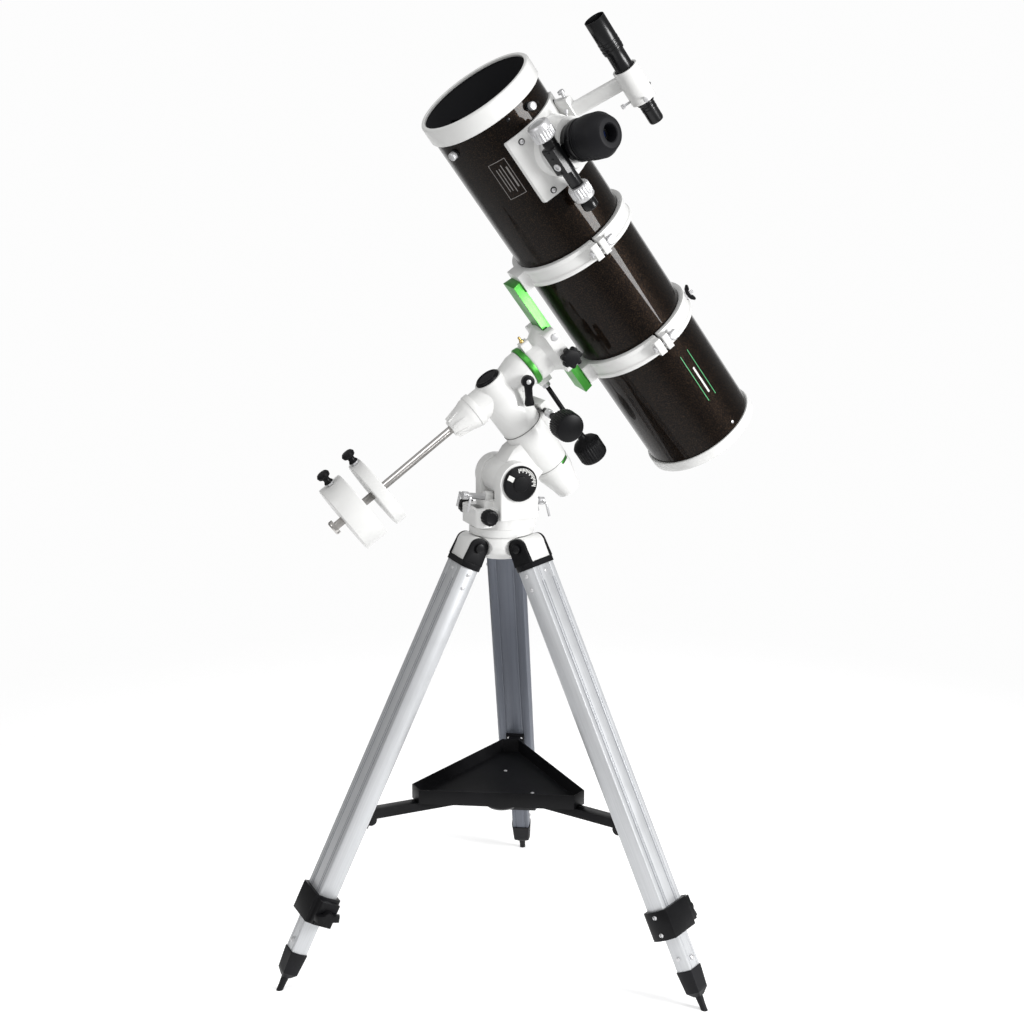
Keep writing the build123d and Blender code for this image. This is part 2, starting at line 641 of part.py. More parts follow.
with BuildPart() as ring_bases:
    for middle in (RING_FRONT, RING_REAR):
        start = middle - RING_WIDTH / 2
        end = middle + RING_WIDTH / 2
        grooved_ring(start, end)
        block(ota, 20, 44, start, end, at=(-101.2, 0))
        block(ota, 30, 12, start, end, at=(-15, HINGE_Y - 6))
        block(ota, 13, 20, start + 2, end - 2, at=(-7, -HINGE_Y + 4))
        block(ota, 200, 300, start - 1, end + 1, Mode.SUBTRACT, at=(99.85, 0))
        block(ota, 2 * LUG_GAP, 40, start - 1, end + 1, Mode.SUBTRACT, at=(0, -HINGE_Y + 2))
        rod(ota, 6.0, start, start + 9, at=(0, HINGE_Y))
        rod(ota, 6.0, end - 9, end, at=(0, HINGE_Y))
        block(ota, 14, 16, start + 9, end - 9, Mode.SUBTRACT, at=(0, HINGE_Y + 1))
        rod(ota, 2.5, start + 1, end - 1, at=(0, HINGE_Y))
        rod(ota, TUBE_RADIUS + GAP, start - 1, end + 1, Mode.SUBTRACT)
        block(ota, 20, 60, start - 1, end + 1, Mode.SUBTRACT, at=(MOUNT_FACE - 9.9, 0))
        lug_bore = sub_plane(ota, (0, -HINGE_Y, middle), (0, 1, 0), (1, 0, 0))
        rod(lug_bore, 3.6, -40, 5, Mode.SUBTRACT)
save(ring_bases, "ring_bases")

for name, middle in (("front", RING_FRONT), ("rear", RING_REAR)):
    start = middle - RING_WIDTH / 2
    end = middle + RING_WIDTH / 2
    lug_bore = sub_plane(ota, (0, -HINGE_Y, middle), (0, 1, 0), (1, 0, 0))
    with BuildPart() as ring_cap:
        grooved_ring(start, end)
        block(ota, 12, 20, start + 2, end - 2, at=(6.2, -HINGE_Y + 4))
        block(ota, 200, 300, start - 1, end + 1, Mode.SUBTRACT, at=(-99.85, 0))
        block(ota, 2 * LUG_GAP, 40, start - 1, end + 1, Mode.SUBTRACT, at=(0, -HINGE_Y + 2))
        block(ota, 8, 14, start + 9.3, end - 9.3, at=(4.15, HINGE_Y - 7))
        rod(ota, 6.0, start + 9.3, end - 9.3, at=(0, HINGE_Y))
        rod(ota, 2.5 + RUNNING, start, end, Mode.SUBTRACT, at=(0, HINGE_Y))
        rod(ota, TUBE_RADIUS + GAP, start - 1, end + 1, Mode.SUBTRACT)
        rod(lug_bore, 3.0 + RUNNING, -1, 20, Mode.SUBTRACT)
    save(ring_cap, "ring_cap_" + name)

    with BuildPart() as ring_knob:
        rod(lug_bore, 3.0, -8, 20)
        rod(lug_bore, 6.0, 12.4, 17)
        block(lug_bore, 9, 15, 16, 27, corner=2)
    save(ring_knob, "ring_knob_" + name)

# ---------------------------------------------------------------- optical tube
with BuildPart() as tube:
    rod(ota, TUBE_RADIUS, TUBE_REAR, TUBE_FRONT)
    rod(ota, TUBE_RADIUS - TUBE_WALL, TUBE_REAR - 1, TUBE_FRONT + 1, Mode.SUBTRACT)
    rod(focus, 32, 60, 120, Mode.SUBTRACT)
save(tube, "tube")

with BuildPart() as tube_front_ring:
    turned(
        ota,
        [(91.1, 318), (94, 318), (95, 320), (95, 346), (93, 348.5), (88, 348.5), (88, 344.1),
         (91.1, 344.1)],
    )
save(tube_front_ring, "tube_front_ring")

with BuildPart() as mirror_cell:
    turned(
        ota,
        [(91.1, -331), (94, -331), (95, -333), (95, -347), (93, -349), (0, -349), (0, -342),
         (91.1, -342)],
    )
    with BuildSketch(ota.offset(-350)) as windows:
        with PolarLocations(58, 3, 30):
            RectangleRounded(30, 62, 8)
    extrude(windows.sketch, amount=10, mode=Mode.SUBTRACT)
    with BuildSketch(ota.offset(-343)) as posts:
        with PolarLocations(60, 3, 90):
            Circle(7)
    extrude(posts.sketch, amount=19.8)
    with BuildSketch(ota.offset(-356)) as screws:
        with PolarLocations(78, 3, 90):
            Circle(5)
    extrude(screws.sketch, amount=8)
save(mirror_cell, "mirror_cell")

with BuildPart() as primary_mirror:
    rod(ota, 76, -323, -300)
save(primary_mirror, "primary_mirror")

VANE_START = 296.0
with BuildPart() as spider:
    rod(ota, 13, 288, 314)
    for turn in (22.5, 112.5):
        vane = sub_plane(ota, (0, 0, 0), (cos(radians(turn)), sin(radians(turn)), 0), (0, 0, 1))
        block(vane, 2 * (TUBE_RADIUS - TUBE_WALL) - 0.6, 1.0, VANE_START, VANE_START + 14)
save(spider, "spider")

with BuildPart() as secondary_mirror:
    rod(ota, 7, 262, 287.8)
    rod(ota, 23, FOCUSER_PLACE - 24, 264)
    normal = FOCUS_DIR - TUBE_DIR
    mirror_face = Plane(
        origin=TUBE_ORIGIN + TUBE_DIR * FOCUSER_PLACE, x_dir=SIDE.cross(FOCUS_DIR), z_dir=normal
    )
    block(mirror_face, 200, 200, 0, 120, Mode.SUBTRACT)
save(secondary_mirror, "secondary_mirror")

# ---------------------------------------------------------------- focuser and finder
PLATE_THICKNESS = 4.5
PINION_SEAT = 105.7
with BuildPart() as focuser_base:
    block(focus, 110, 150, 40, 120, at=(2, 0), corner=6)
    rod(ota, TUBE_RADIUS + PLATE_THICKNESS, 100, 340, Mode.INTERSECT)
    block(focus, 118, 128, 40, 120, Mode.INTERSECT, at=(2, 0), corner=8)
    turned(
        focus,
        [(0, 78), (47, 78), (46, 97), (43, 99), (41, 104), (39, 112), (38, 124), (0, 124)],
    )
    rod(ota, TUBE_RADIUS + GAP, -100, 320, Mode.SUBTRACT)
    rod(focus, DRAWTUBE_RADIUS + RUNNING, 50, 130, Mode.SUBTRACT)
    block(focus, 130, 40, PINION_SEAT, 130, Mode.SUBTRACT, at=(0, 45.2))
save(focuser_base, "focuser_base")

with BuildPart() as pinion_block:
    block(focus, 46, 17, PINION_SEAT + 0.1, 129, at=(-2, 38.5), corner=3)
    shaft_line = sub_plane(focus, (0, FOCUS_SHAFT_Y, FOCUS_SHAFT_Z), (0, 1, 0), (1, 0, 0))
    rod(shaft_line, 10.5, -50, 34)
    rod(shaft_line, 3.0 + RUNNING, -80, 80, Mode.SUBTRACT)
    rod(focus, DRAWTUBE_RADIUS + 1.0, 90, 135, Mode.SUBTRACT)
save(pinion_block, "pinion_block")

with BuildPart() as drawtube:
    rod(focus, DRAWTUBE_RADIUS, 76, 142)
    turned(focus, [(0, 134), (31, 134), (32, 136), (32, 146), (0, 146)])
    rod(focus, 25.4, 70, 150, Mode.SUBTRACT)
save(drawtube, "drawtube")

with BuildPart() as focus_knobs:
    rod(shaft_line, 3.0, -78, 60)
    turned(shaft_line, [(0, 35), (16, 35), (18, 37), (18, 58), (16, 61), (0, 61)])
    turned(shaft_line, [(0, -51), (15, -51), (17, -53), (17, -74), (15, -76), (0, -76)])
save(focus_knobs, "focus_knobs")

with BuildPart() as fine_knob:
    turned(shaft_line, [(0, -78.3), (11, -78.3), (12, -80), (12, -91), (10, -93), (0, -93)])
save(fine_knob, "fine_knob")

with BuildPart() as eyepiece:
    turned(
        focus,
        [(23, 112), (25.35, 112), (25.35, 146.3), (33, 146.3), (34, 149), (34, 182), (25, 199),
         (14, 201), (14, 190), (23, 180)],
    )
    rod(focus, 24, 176, 184)
save(eyepiece, "eyepiece")

finder_axis = Plane(
    origin=TUBE_ORIGIN + FINDER_DIR * FINDER_REACH, x_dir=FINDER_DIR, z_dir=TUBE_DIR
)
with BuildPart() as finder_bracket:
    block(focus, 34, 13, 60, 110, at=(30, -50), corner=3)
    rod(ota, TUBE_RADIUS + PLATE_THICKNESS + GAP, 200, 320, Mode.SUBTRACT)
    stalk = sub_plane(focus, (24, -50, 104), (1, 0, 0), (0, -0.545, 0.838))
    block(stalk, 22, 14, 0, 86, corner=5)
    rod(finder_axis, 19.5, 214, 270)
    rod(finder_axis, 16.5, 200, 290, Mode.SUBTRACT)
save(finder_bracket, "finder_bracket")

with BuildPart() as finder:
    turned(
        finder_axis,
        [(0, 175), (10.5, 175), (11.5, 178), (11.5, 206), (13.5, 208), (13.5, 262), (16.2, 262),
         (16.2, 267), (14, 267), (14, 300), (16, 300), (16, 356), (15, 356), (15, 318), (0, 318)],
    )
save(finder, "finder")
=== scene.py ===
"""Looks of the telescope on its tripod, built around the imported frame."""

import json
import math

import bmesh
import bpy
from mathutils import Matrix, Vector

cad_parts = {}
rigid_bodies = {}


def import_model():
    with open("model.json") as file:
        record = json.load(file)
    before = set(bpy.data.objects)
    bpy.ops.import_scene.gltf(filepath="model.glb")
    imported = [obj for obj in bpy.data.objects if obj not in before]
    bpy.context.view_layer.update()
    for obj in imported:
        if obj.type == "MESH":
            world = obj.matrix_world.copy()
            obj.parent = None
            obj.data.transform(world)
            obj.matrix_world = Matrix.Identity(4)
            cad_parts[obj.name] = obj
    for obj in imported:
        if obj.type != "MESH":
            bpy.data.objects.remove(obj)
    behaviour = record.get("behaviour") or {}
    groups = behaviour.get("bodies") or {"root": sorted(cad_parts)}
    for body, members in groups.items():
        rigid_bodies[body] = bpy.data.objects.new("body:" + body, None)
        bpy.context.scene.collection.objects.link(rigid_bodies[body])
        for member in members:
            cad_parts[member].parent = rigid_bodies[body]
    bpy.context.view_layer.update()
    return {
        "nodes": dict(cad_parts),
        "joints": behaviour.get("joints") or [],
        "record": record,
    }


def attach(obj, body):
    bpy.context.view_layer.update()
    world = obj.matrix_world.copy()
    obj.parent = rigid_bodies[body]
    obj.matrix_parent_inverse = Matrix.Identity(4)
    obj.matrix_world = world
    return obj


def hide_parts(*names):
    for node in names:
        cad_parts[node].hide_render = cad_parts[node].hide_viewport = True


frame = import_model()

# ---------------------------------------------------------------- frames of the moving bodies
MM = 0.001
JOINTS = {joint["name"]: joint for joint in frame["joints"]}
BODIES = frame["record"]["behaviour"]["bodies"]
BODY_OF = {node: body for body, nodes in BODIES.items() for node in nodes}
SLOT_OF = {entry["node"]: entry["material_slot"] for entry in frame["record"]["subparts"]}


def axis_of(joint):
    return Vector(JOINTS[joint]["axis"]).normalized()


def axes(origin, x_dir, z_dir):
    """Matrix of a local frame in millimetres at origin (metres)."""
    z = Vector(z_dir).normalized()
    x = Vector(x_dir)
    x = (x - z * x.dot(z)).normalized()
    turn = Matrix((x, z.cross(x), z)).transposed().to_4x4()
    return Matrix.Translation(Vector(origin)) @ turn @ Matrix.Diagonal((MM, MM, MM, 1))


def inside(base, point, x_dir, z_dir):
    """Frame given inside another frame, in millimetres."""
    turn = base.to_3x3()
    return axes(base @ Vector(point), turn @ Vector(x_dir), turn @ Vector(z_dir))


EAST = Vector((1, 0, 0))
POLE = axis_of("right_ascension")
DEC = axis_of("declination")
TUBE = axis_of("tube_rotation")
SIDE = DEC.cross(TUBE)
FOCUS = axis_of("focus")
TRIPOD_AXIS = Vector(JOINTS["azimuth"]["pos_m"])
TRIPOD_AXIS.z = 0
TUBE_ORIGIN = Vector(JOINTS["tube_rotation"]["pos_m"])
FOCUSER_PLACE = 228.0
FINDER_ANGLE = math.radians(35)
FINDER_REACH = 214.0
FINDER_DIR = DEC * math.cos(FINDER_ANGLE) + SIDE * math.sin(FINDER_ANGLE)

GROUND = axes(TRIPOD_AXIS, EAST, (0, 0, 1))
POLAR = axes(JOINTS["right_ascension"]["pos_m"], EAST, POLE)
HUB = axes(JOINTS["declination"]["pos_m"], POLE, DEC)
SADDLE = axes(JOINTS["declination"]["pos_m"], TUBE, DEC)
OTA = axes(TUBE_ORIGIN, DEC, TUBE)
FOCUSER = axes(TUBE_ORIGIN + TUBE * FOCUSER_PLACE * MM, TUBE, FOCUS)
FINDER = axes(TUBE_ORIGIN + FINDER_DIR * FINDER_REACH * MM, FINDER_DIR, TUBE)
LATITUDE = axes(JOINTS["latitude"]["pos_m"], (0, 1, 0), EAST)

LEG_NAMES = ("north", "southeast", "southwest")
LEG_TOP_RADIUS = 67.3
LEG_TOP_HEIGHT = 672.4


def leg_frame(place):
    """X is tangential, Z runs down the leg from the top of its extrusion."""
    down = axis_of("leg_extension_" + place)
    out = Vector((down.x, down.y, 0)).normalized()
    origin = TRIPOD_AXIS + out * LEG_TOP_RADIUS * MM + Vector((0, 0, LEG_TOP_HEIGHT * MM))
    return axes(origin, (out.y, -out.x, 0), down)


LEGS = {place: leg_frame(place) for place in LEG_NAMES}


# ---------------------------------------------------------------- materials
def new_material(name):
    material = bpy.data.materials.new(name)
    material.use_nodes = True
    nodes = material.node_tree.nodes
    return material, nodes, material.node_tree.links, nodes["Principled BSDF"]


def place_coords(nodes, links, scale=(1, 1, 1)):
    """The piece's own local coordinates, in metres, stretched by scale."""
    source = nodes.new("ShaderNodeAttribute")
    source.attribute_name = "place"
    mapping = nodes.new("ShaderNodeMapping")
    mapping.inputs["Scale"].default_value = scale
    links.new(source.outputs["Vector"], mapping.inputs["Vector"])
    return mapping.outputs["Vector"]


def noise(nodes, links, coords, scale, detail=3.0, roughness=0.5):
    texture = nodes.new("ShaderNodeTexNoise")
    texture.inputs["Scale"].default_value = scale
    texture.inputs["Detail"].default_value = detail
    texture.inputs["Roughness"].default_value = roughness
    links.new(coords, texture.inputs["Vector"])
    return texture.outputs["Fac"]


def blend_colour(nodes, links, factor, low, high, start=0.3, end=0.7):
    ramp = nodes.new("ShaderNodeValToRGB")
    ramp.color_ramp.elements[0].position = start
    ramp.color_ramp.elements[1].position = end
    ramp.color_ramp.elements[0].color = (*low, 1)
    ramp.color_ramp.elements[1].color = (*high, 1)
    links.new(factor, ramp.inputs["Fac"])
    return ramp.outputs["Color"]


def spread(nodes, links, factor, low, high):
    """Maps a 0..1 factor to a range of values."""
    node = nodes.new("ShaderNodeMapRange")
    node.inputs["From Min"].default_value = 0.3
    node.inputs["From Max"].default_value = 0.7
    node.inputs["To Min"].default_value = low
    node.inputs["To Max"].default_value = high
    links.new(factor, node.inputs["Value"])
    return node.outputs["Result"]


def bump(nodes, links, height, strength, distance, under=None):
    node = nodes.new("ShaderNodeBump")
    node.inputs["Strength"].default_value = strength
    node.inputs["Distance"].default_value = distance
    links.new(height, node.inputs["Height"])
    if under is not None:
        links.new(under, node.inputs["Normal"])
    return node.outputs["Normal"]


def grained(name, low, high, rough, grain, strength, metallic=0.0, coat=0.0, specular=0.5):
    """Paint, plastic or rubber: cloudy colour, uneven gloss and a fine surface grain."""
    material, nodes, links, bsdf = new_material(name)
    coords = place_coords(nodes, links)
    cloud = noise(nodes, links, coords, 18, 4)
    fine = noise(nodes, links, coords, grain, 2)
    links.new(blend_colour(nodes, links, cloud, low, high), bsdf.inputs["Base Color"])
    links.new(spread(nodes, links, cloud, *rough), bsdf.inputs["Roughness"])
    links.new(bump(nodes, links, fine, strength, 0.0002), bsdf.inputs["Normal"])
    bsdf.inputs["Metallic"].default_value = metallic
    bsdf.inputs["Coat Weight"].default_value = coat
    bsdf.inputs["Coat Roughness"].default_value = 0.12
    bsdf.inputs["Specular IOR Level"].default_value = specular
    return material


def brushed(name, low, high, rough, stretch, strength=0.12, streak=1.0, metallic=1.0):
    """Bare or anodised metal with fine lines along one local axis."""
    material, nodes, links, bsdf = new_material(name)
    coords = place_coords(nodes, links, stretch)
    lines = noise(nodes, links, coords, streak, 5, 0.6)
    cloud = noise(nodes, links, place_coords(nodes, links), 30, 3)
    links.new(blend_colour(nodes, links, lines, low, high), bsdf.inputs["Base Color"])
    links.new(spread(nodes, links, cloud, *rough), bsdf.inputs["Roughness"])
    links.new(bump(nodes, links, lines, strength, 0.00015), bsdf.inputs["Normal"])
    bsdf.inputs["Metallic"].default_value = metallic
    return material


def flake_paint(name):
    """Dark brown-black gloss with small metallic flakes under a clear coat."""
    material, nodes, links, bsdf = new_material(name)
    coords = place_coords(nodes, links)
    flakes = nodes.new("ShaderNodeTexVoronoi")
    flakes.inputs["Scale"].default_value = 1500
    links.new(coords, flakes.inputs["Vector"])
    cell = nodes.new("ShaderNodeSeparateColor")
    links.new(flakes.outputs["Color"], cell.inputs["Color"])
    speck = nodes.new("ShaderNodeMapRange")
    speck.inputs["From Min"].default_value = 0.72
    speck.inputs["From Max"].default_value = 1.0
    links.new(cell.outputs["Red"], speck.inputs["Value"])
    dark, bright = (0.0022, 0.0011, 0.0007), (0.036, 0.0215, 0.012)
    colour = blend_colour(nodes, links, speck.outputs["Result"], dark, bright, 0.0, 1.0)
    links.new(colour, bsdf.inputs["Base Color"])
    tilt = bump(nodes, links, cell.outputs["Green"], 0.16, 0.0004)
    links.new(tilt, bsdf.inputs["Normal"])
    haze = noise(nodes, links, coords, 9, 3)
    links.new(spread(nodes, links, haze, 0.34, 0.46), bsdf.inputs["Roughness"])
    bsdf.inputs["Metallic"].default_value = 0.6
    bsdf.inputs["Specular IOR Level"].default_value = 0.05
    bsdf.inputs["Coat Weight"].default_value = 0.8
    bsdf.inputs["Coat IOR"].default_value = 1.23
    bsdf.inputs["Coat Roughness"].default_value = 0.03
    return material


def lens_glass(name, tint):
    material, nodes, links, bsdf = new_material(name)
    coords = place_coords(nodes, links)
    cloud = noise(nodes, links, coords, 40, 2)
    deep = tuple(0.5 * part for part in tint)
    links.new(blend_colour(nodes, links, cloud, deep, tint), bsdf.inputs["Base Color"])
    bsdf.inputs["Roughness"].default_value = 0.03
    bsdf.inputs["Coat Weight"].default_value = 1.0
    bsdf.inputs["Coat Roughness"].default_value = 0.01
    return material


ALONG_Z = (420, 420, 7)
ROUND_Z = (60, 60, 900)
MATERIALS = {
    "white": grained(
        "white_paint", (0.70, 0.70, 0.69), (0.75, 0.75, 0.74), (0.30, 0.42), 900, 0.08, coat=0.2
    ),
    "tube_paint": flake_paint("tube_paint"),
    # Flat black paint of the tube's inside; also painted shade for the screw slots and the focuser
    # flange's holes.
    "black_paint_and_painted_shade": grained(
        "flocked_black_and_painted_shade", (0.004, 0.004, 0.006), (0.009, 0.009, 0.012), (0.8, 0.95), 1500, 0.3
    ),
    "plastic": grained(
        "black_plastic", (0.003, 0.003, 0.0035), (0.006, 0.006, 0.007), (0.32, 0.44), 1300, 0.2,
        specular=0.15,
    ),
    "rubber": grained(
        "black_rubber", (0.004, 0.004, 0.005), (0.008, 0.008, 0.010), (0.45, 0.6), 700, 0.3,
        specular=0.18,
    ),
    "black_metal": grained(
        "black_powder_coat", (0.003, 0.003, 0.0035), (0.006, 0.006, 0.007), (0.32, 0.44), 1100, 0.25,
        specular=0.15,
    ),
    "black_gloss": grained(
        "black_anodised", (0.003, 0.003, 0.0035), (0.007, 0.007, 0.008), (0.24, 0.32), 1600, 0.04,
        metallic=0.2, coat=0.12, specular=0.3,
    ),
    "leg": brushed(
        "anodised_extrusion", (0.50, 0.51, 0.525), (0.57, 0.58, 0.595), (0.38, 0.48), ALONG_Z, 0.08,
        metallic=0.45,
    ),
    # Painted shade: a darker copy of the leg anodising, for the rear leg's inward faces and the dark
    # strips beside the leg grooves.
    "leg_painted_shade": brushed(
        "anodised_painted_shade", (0.105, 0.115, 0.14), (0.13, 0.142, 0.17), (0.45, 0.55), ALONG_Z, 0.08,
        metallic=0.3,
    ),
    "green": brushed(
        "green_anodised", (0.045, 0.27, 0.035), (0.07, 0.34, 0.05), (0.30, 0.40), (500, 12, 12), 0.04,
        metallic=0.7,
    ),
    "chrome": brushed(
        "chrome_plate", (0.56, 0.56, 0.57), (0.64, 0.64, 0.65), (0.30, 0.38), (15, 15, 15), 0.0,
        metallic=0.55,
    ),
    "steel": brushed(
        "polished_steel", (0.50, 0.485, 0.47), (0.58, 0.56, 0.545), (0.14, 0.22), ALONG_Z, 0.02
    ),
    "brass": brushed("brass", (0.55, 0.38, 0.12), (0.68, 0.50, 0.18), (0.18, 0.28), ROUND_Z, 0.04),
    "mirror": brushed(
        "mirror_coating", (0.86, 0.87, 0.88), (0.90, 0.905, 0.91), (0.015, 0.03), (20, 20, 20), 0.0
    ),
    "print_white": grained(
        "printed_white", (0.62, 0.62, 0.60), (0.70, 0.70, 0.68), (0.45, 0.55), 900, 0.02
    ),
    "print_grey": grained(
        "printed_grey", (0.16, 0.15, 0.145), (0.22, 0.21, 0.20), (0.45, 0.55), 900, 0.02
    ),
    "print_green": grained(
        "printed_green", (0.03, 0.32, 0.10), (0.05, 0.40, 0.14), (0.35, 0.45), 900, 0.02
    ),
    "shadow_gap": grained(
        "shadow_gap", (0.10, 0.10, 0.095), (0.14, 0.14, 0.135), (0.6, 0.7), 900, 0.02
    ),
    "eye_lens": lens_glass("coated_eye_lens", (0.010, 0.018, 0.060)),
    "front_lens": lens_glass("coated_front_lens", (0.02, 0.012, 0.030)),
}
SLOT_MATERIAL = {
    "white_casting": "white",
    "white_weight": "white",
    "tube_paint": "tube_paint",
    "black_plastic": "plastic",
    "black_rubber": "rubber",
    "black_metal": "black_metal",
    "black_alloy": "black_gloss",
    "leg_aluminium": "leg",
    "green_anodised": "green",
    "chrome": "chrome",
    "steel": "steel",
    "mirror_glass": "mirror",
}


# ---------------------------------------------------------------- mesh tools
SHARP_ANGLE = 38
ROUND_ANGLE = 32
FLAT_ANGLE = 0.7


def settle(obj, base, width, segments):
    """Rounds the edges of a mesh, smooths it and stores its local coordinates."""
    if width:
        rounding = obj.modifiers.new("rounding", "BEVEL")
        rounding.width = width * MM
        rounding.segments = segments
        rounding.limit_method = "ANGLE"
        rounding.angle_limit = math.radians(ROUND_ANGLE)
        rounding.use_clamp_overlap = True
        rounding.miter_outer = "MITER_ARC"
        rounding.harden_normals = False
    graph = bpy.context.evaluated_depsgraph_get()
    solid = bpy.data.meshes.new_from_object(obj.evaluated_get(graph))
    obj.modifiers.clear()
    old = obj.data
    obj.data = solid
    bpy.data.meshes.remove(old)
    for face in solid.polygons:
        face.use_smooth = True
    solid.set_sharp_from_angle(angle=math.radians(SHARP_ANGLE))
    back = base.inverted()
    layer = solid.attributes.new("place", "FLOAT_VECTOR", "POINT")
    for vertex, value in zip(solid.vertices, layer.data):
        value.vector = (back @ vertex.co) * MM


def dress(obj, material):
    obj.data.materials.clear()
    obj.data.materials.append(MATERIALS[material])


def make(name, bm, base, body, material, width, segments=2, stands_for=()):
    """Turns a bmesh in local millimetres into a finished piece riding on a body."""
    bmesh.ops.remove_doubles(bm, verts=bm.verts, dist=0.001)
    bmesh.ops.recalc_face_normals(bm, faces=bm.faces)
    bm.transform(base)
    mesh = bpy.data.meshes.new(name)
    bm.to_mesh(mesh)
    bm.free()
    obj = bpy.data.objects.new(name, mesh)
    bpy.context.scene.collection.objects.link(obj)
    settle(obj, base, width, segments)
    dress(obj, material)
    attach(obj, body)
    if stands_for:
        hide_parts(*stands_for)


def lathe(profile, steps=64, shape=None, closed=False):
    """Surface of revolution about local Z from (radius, height, tag) stations."""
    bm = bmesh.new()
    rings = []
    for station in profile:
        radius, height = station[0], station[1]
        tag = station[2] if len(station) > 2 else None
        if radius < 1e-6:
            rings.append([bm.verts.new((0, 0, height))])
            continue
        ring = []
        for step in range(steps):
            turn = 2 * math.pi * step / steps
            here = shape(tag, turn, radius) if shape and tag else radius
            ring.append(bm.verts.new((here * math.cos(turn), here * math.sin(turn), height)))
        rings.append(ring)
    pairs = list(zip(rings, rings[1:]))
    if closed:
        pairs.append((rings[-1], rings[0]))
    for low, high in pairs:
        if len(low) == 1 and len(high) == 1:
            continue
        for step in range(steps):
            after = (step + 1) % steps
            if len(low) == 1:
                bm.faces.new((low[0], high[step], high[after]))
            elif len(high) == 1:
                bm.faces.new((low[step], low[after], high[0]))
            else:
                bm.faces.new((low[step], low[after], high[after], high[step]))
    return bm


def prism(outline, start, end):
    """Straight bar along local Z with a polygonal section."""
    bm = bmesh.new()
    low = [bm.verts.new((x, y, start)) for x, y in outline]
    high = [bm.verts.new((x, y, end)) for x, y in outline]
    bm.faces.new(low[::-1])
    bm.faces.new(high)
    count = len(outline)
    for i in range(count):
        after = (i + 1) % count
        bm.faces.new((low[i], low[after], high[after], high[i]))
    return bm


def plate(width, depth, start, end, at=(0, 0)):
    """Rectangular block along local Z."""
    x, y = at
    half_x, half_y = width / 2, depth / 2
    corners = [
        (x - half_x, y - half_y), (x + half_x, y - half_y),
        (x + half_x, y + half_y), (x - half_x, y + half_y),
    ]
    return prism(corners, start, end)


def arc_strip(radius, thickness, angle_low, angle_high, start, end, steps=24):
    """Thin curved strip lying on a cylinder about local Z."""
    bm = bmesh.new()
    rows = []
    for step in range(steps + 1):
        turn = angle_low + (angle_high - angle_low) * step / steps
        row = []
        for reach in (radius, radius + thickness):
            for height in (start, end):
                row.append(bm.verts.new((reach * math.cos(turn), reach * math.sin(turn), height)))
        rows.append(row)
    for near, far in zip(rows, rows[1:]):
        for a, b in ((0, 1), (1, 3), (3, 2), (2, 0)):
            bm.faces.new((near[a], near[b], far[b], far[a]))
    bm.faces.new((rows[0][0], rows[0][2], rows[0][3], rows[0][1]))
    bm.faces.new((rows[-1][0], rows[-1][1], rows[-1][3], rows[-1][2]))
    return bm


def hexagon(turn, radius):
    """Radius of a hexagon of that across-flats half size."""
    part = turn % (math.pi / 3) - math.pi / 6
    return radius / math.cos(part)


def fluted(count, depth):
    """Radius modulation for ribs around a knob."""

    def shape(tag, turn, radius):
        if tag == "hex":
            return hexagon(turn, radius)
        wave = 0.5 - 0.5 * math.cos(count * turn)
        return radius - depth * wave**2

    return shape


def slotted_screw(name, base, radius, height, body):
    """Domed screw head with a straight slot."""
    head = [
        (0, 0), (radius, 0), (radius, height * 0.4), (radius * 0.8, height * 0.8),
        (radius * 0.4, height), (0, height),
    ]
    make(name, lathe(head, 28), base, body, "chrome", 0.12, 1)
    # Painted shade: the slot is a dark plate set into the head, black for the shade inside it.
    slot_shade_piece = plate(radius * 1.7, radius * 0.24, height * 0.72, height * 1.03)
    make(name + "_slot", slot_shade_piece, base, body, "black_paint_and_painted_shade", 0.0, 1)


# ---------------------------------------------------------------- CAD nodes with rounded edges
def home_frame(node):
    """Local frame that a node's grain and brushing follow."""
    body = BODY_OF[node]
    for place in LEG_NAMES:
        if node.endswith(place):
            return LEGS[place]
    if body in ("optical_tube", "ring_plate") or node.startswith("ring_"):
        return OTA
    if node.startswith(("saddle", "dec_circle", "dec_knob", "dovetail")):
        return SADDLE
    if node.startswith(("counterweight", "weight", "dec_housing")):
        return HUB
    if node in ("drawtube", "eyepiece", "focus_knobs", "fine_knob"):
        return FOCUSER
    if node == "finder":
        return FINDER
    if node.startswith(("ra_", "polar", "front_cap")):
        return POLAR
    return GROUND


WELD = 1e-6


def centre_of(mesh):
    """Mean of a mesh's or bmesh's vertices."""
    vertices = mesh.verts if isinstance(mesh, bmesh.types.BMesh) else mesh.vertices
    return sum((vertex.co for vertex in vertices), Vector()) / len(vertices)


def split_solids(source):
    """Loose parts of a mesh as separate bmeshes, in the same order on every run."""
    whole = bmesh.new()
    whole.from_mesh(source)
    bmesh.ops.remove_doubles(whole, verts=whole.verts, dist=WELD)
    whole.verts.index_update()
    part_of = {}
    for first in whole.verts:
        if first.index in part_of:
            continue
        part_of[first.index] = first.index
        stack = [first]
        while stack:
            vertex = stack.pop()
            for edge in vertex.link_edges:
                other = edge.other_vert(vertex)
                if other.index not in part_of:
                    part_of[other.index] = first.index
                    stack.append(other)
    parts = {label: bmesh.new() for label in sorted(set(part_of.values()))}
    matching = {}
    for vertex in whole.verts:
        part = parts[part_of[vertex.index]]
        matching[vertex.index] = part.verts.new(vertex.co)
    for face in whole.faces:
        corners = [matching[vertex.index] for vertex in face.verts]
        parts[part_of[face.verts[0].index]].faces.new(corners)
    whole.free()
    return sorted(parts.values(), key=lambda part: tuple(round(c, 4) for c in centre_of(part)))


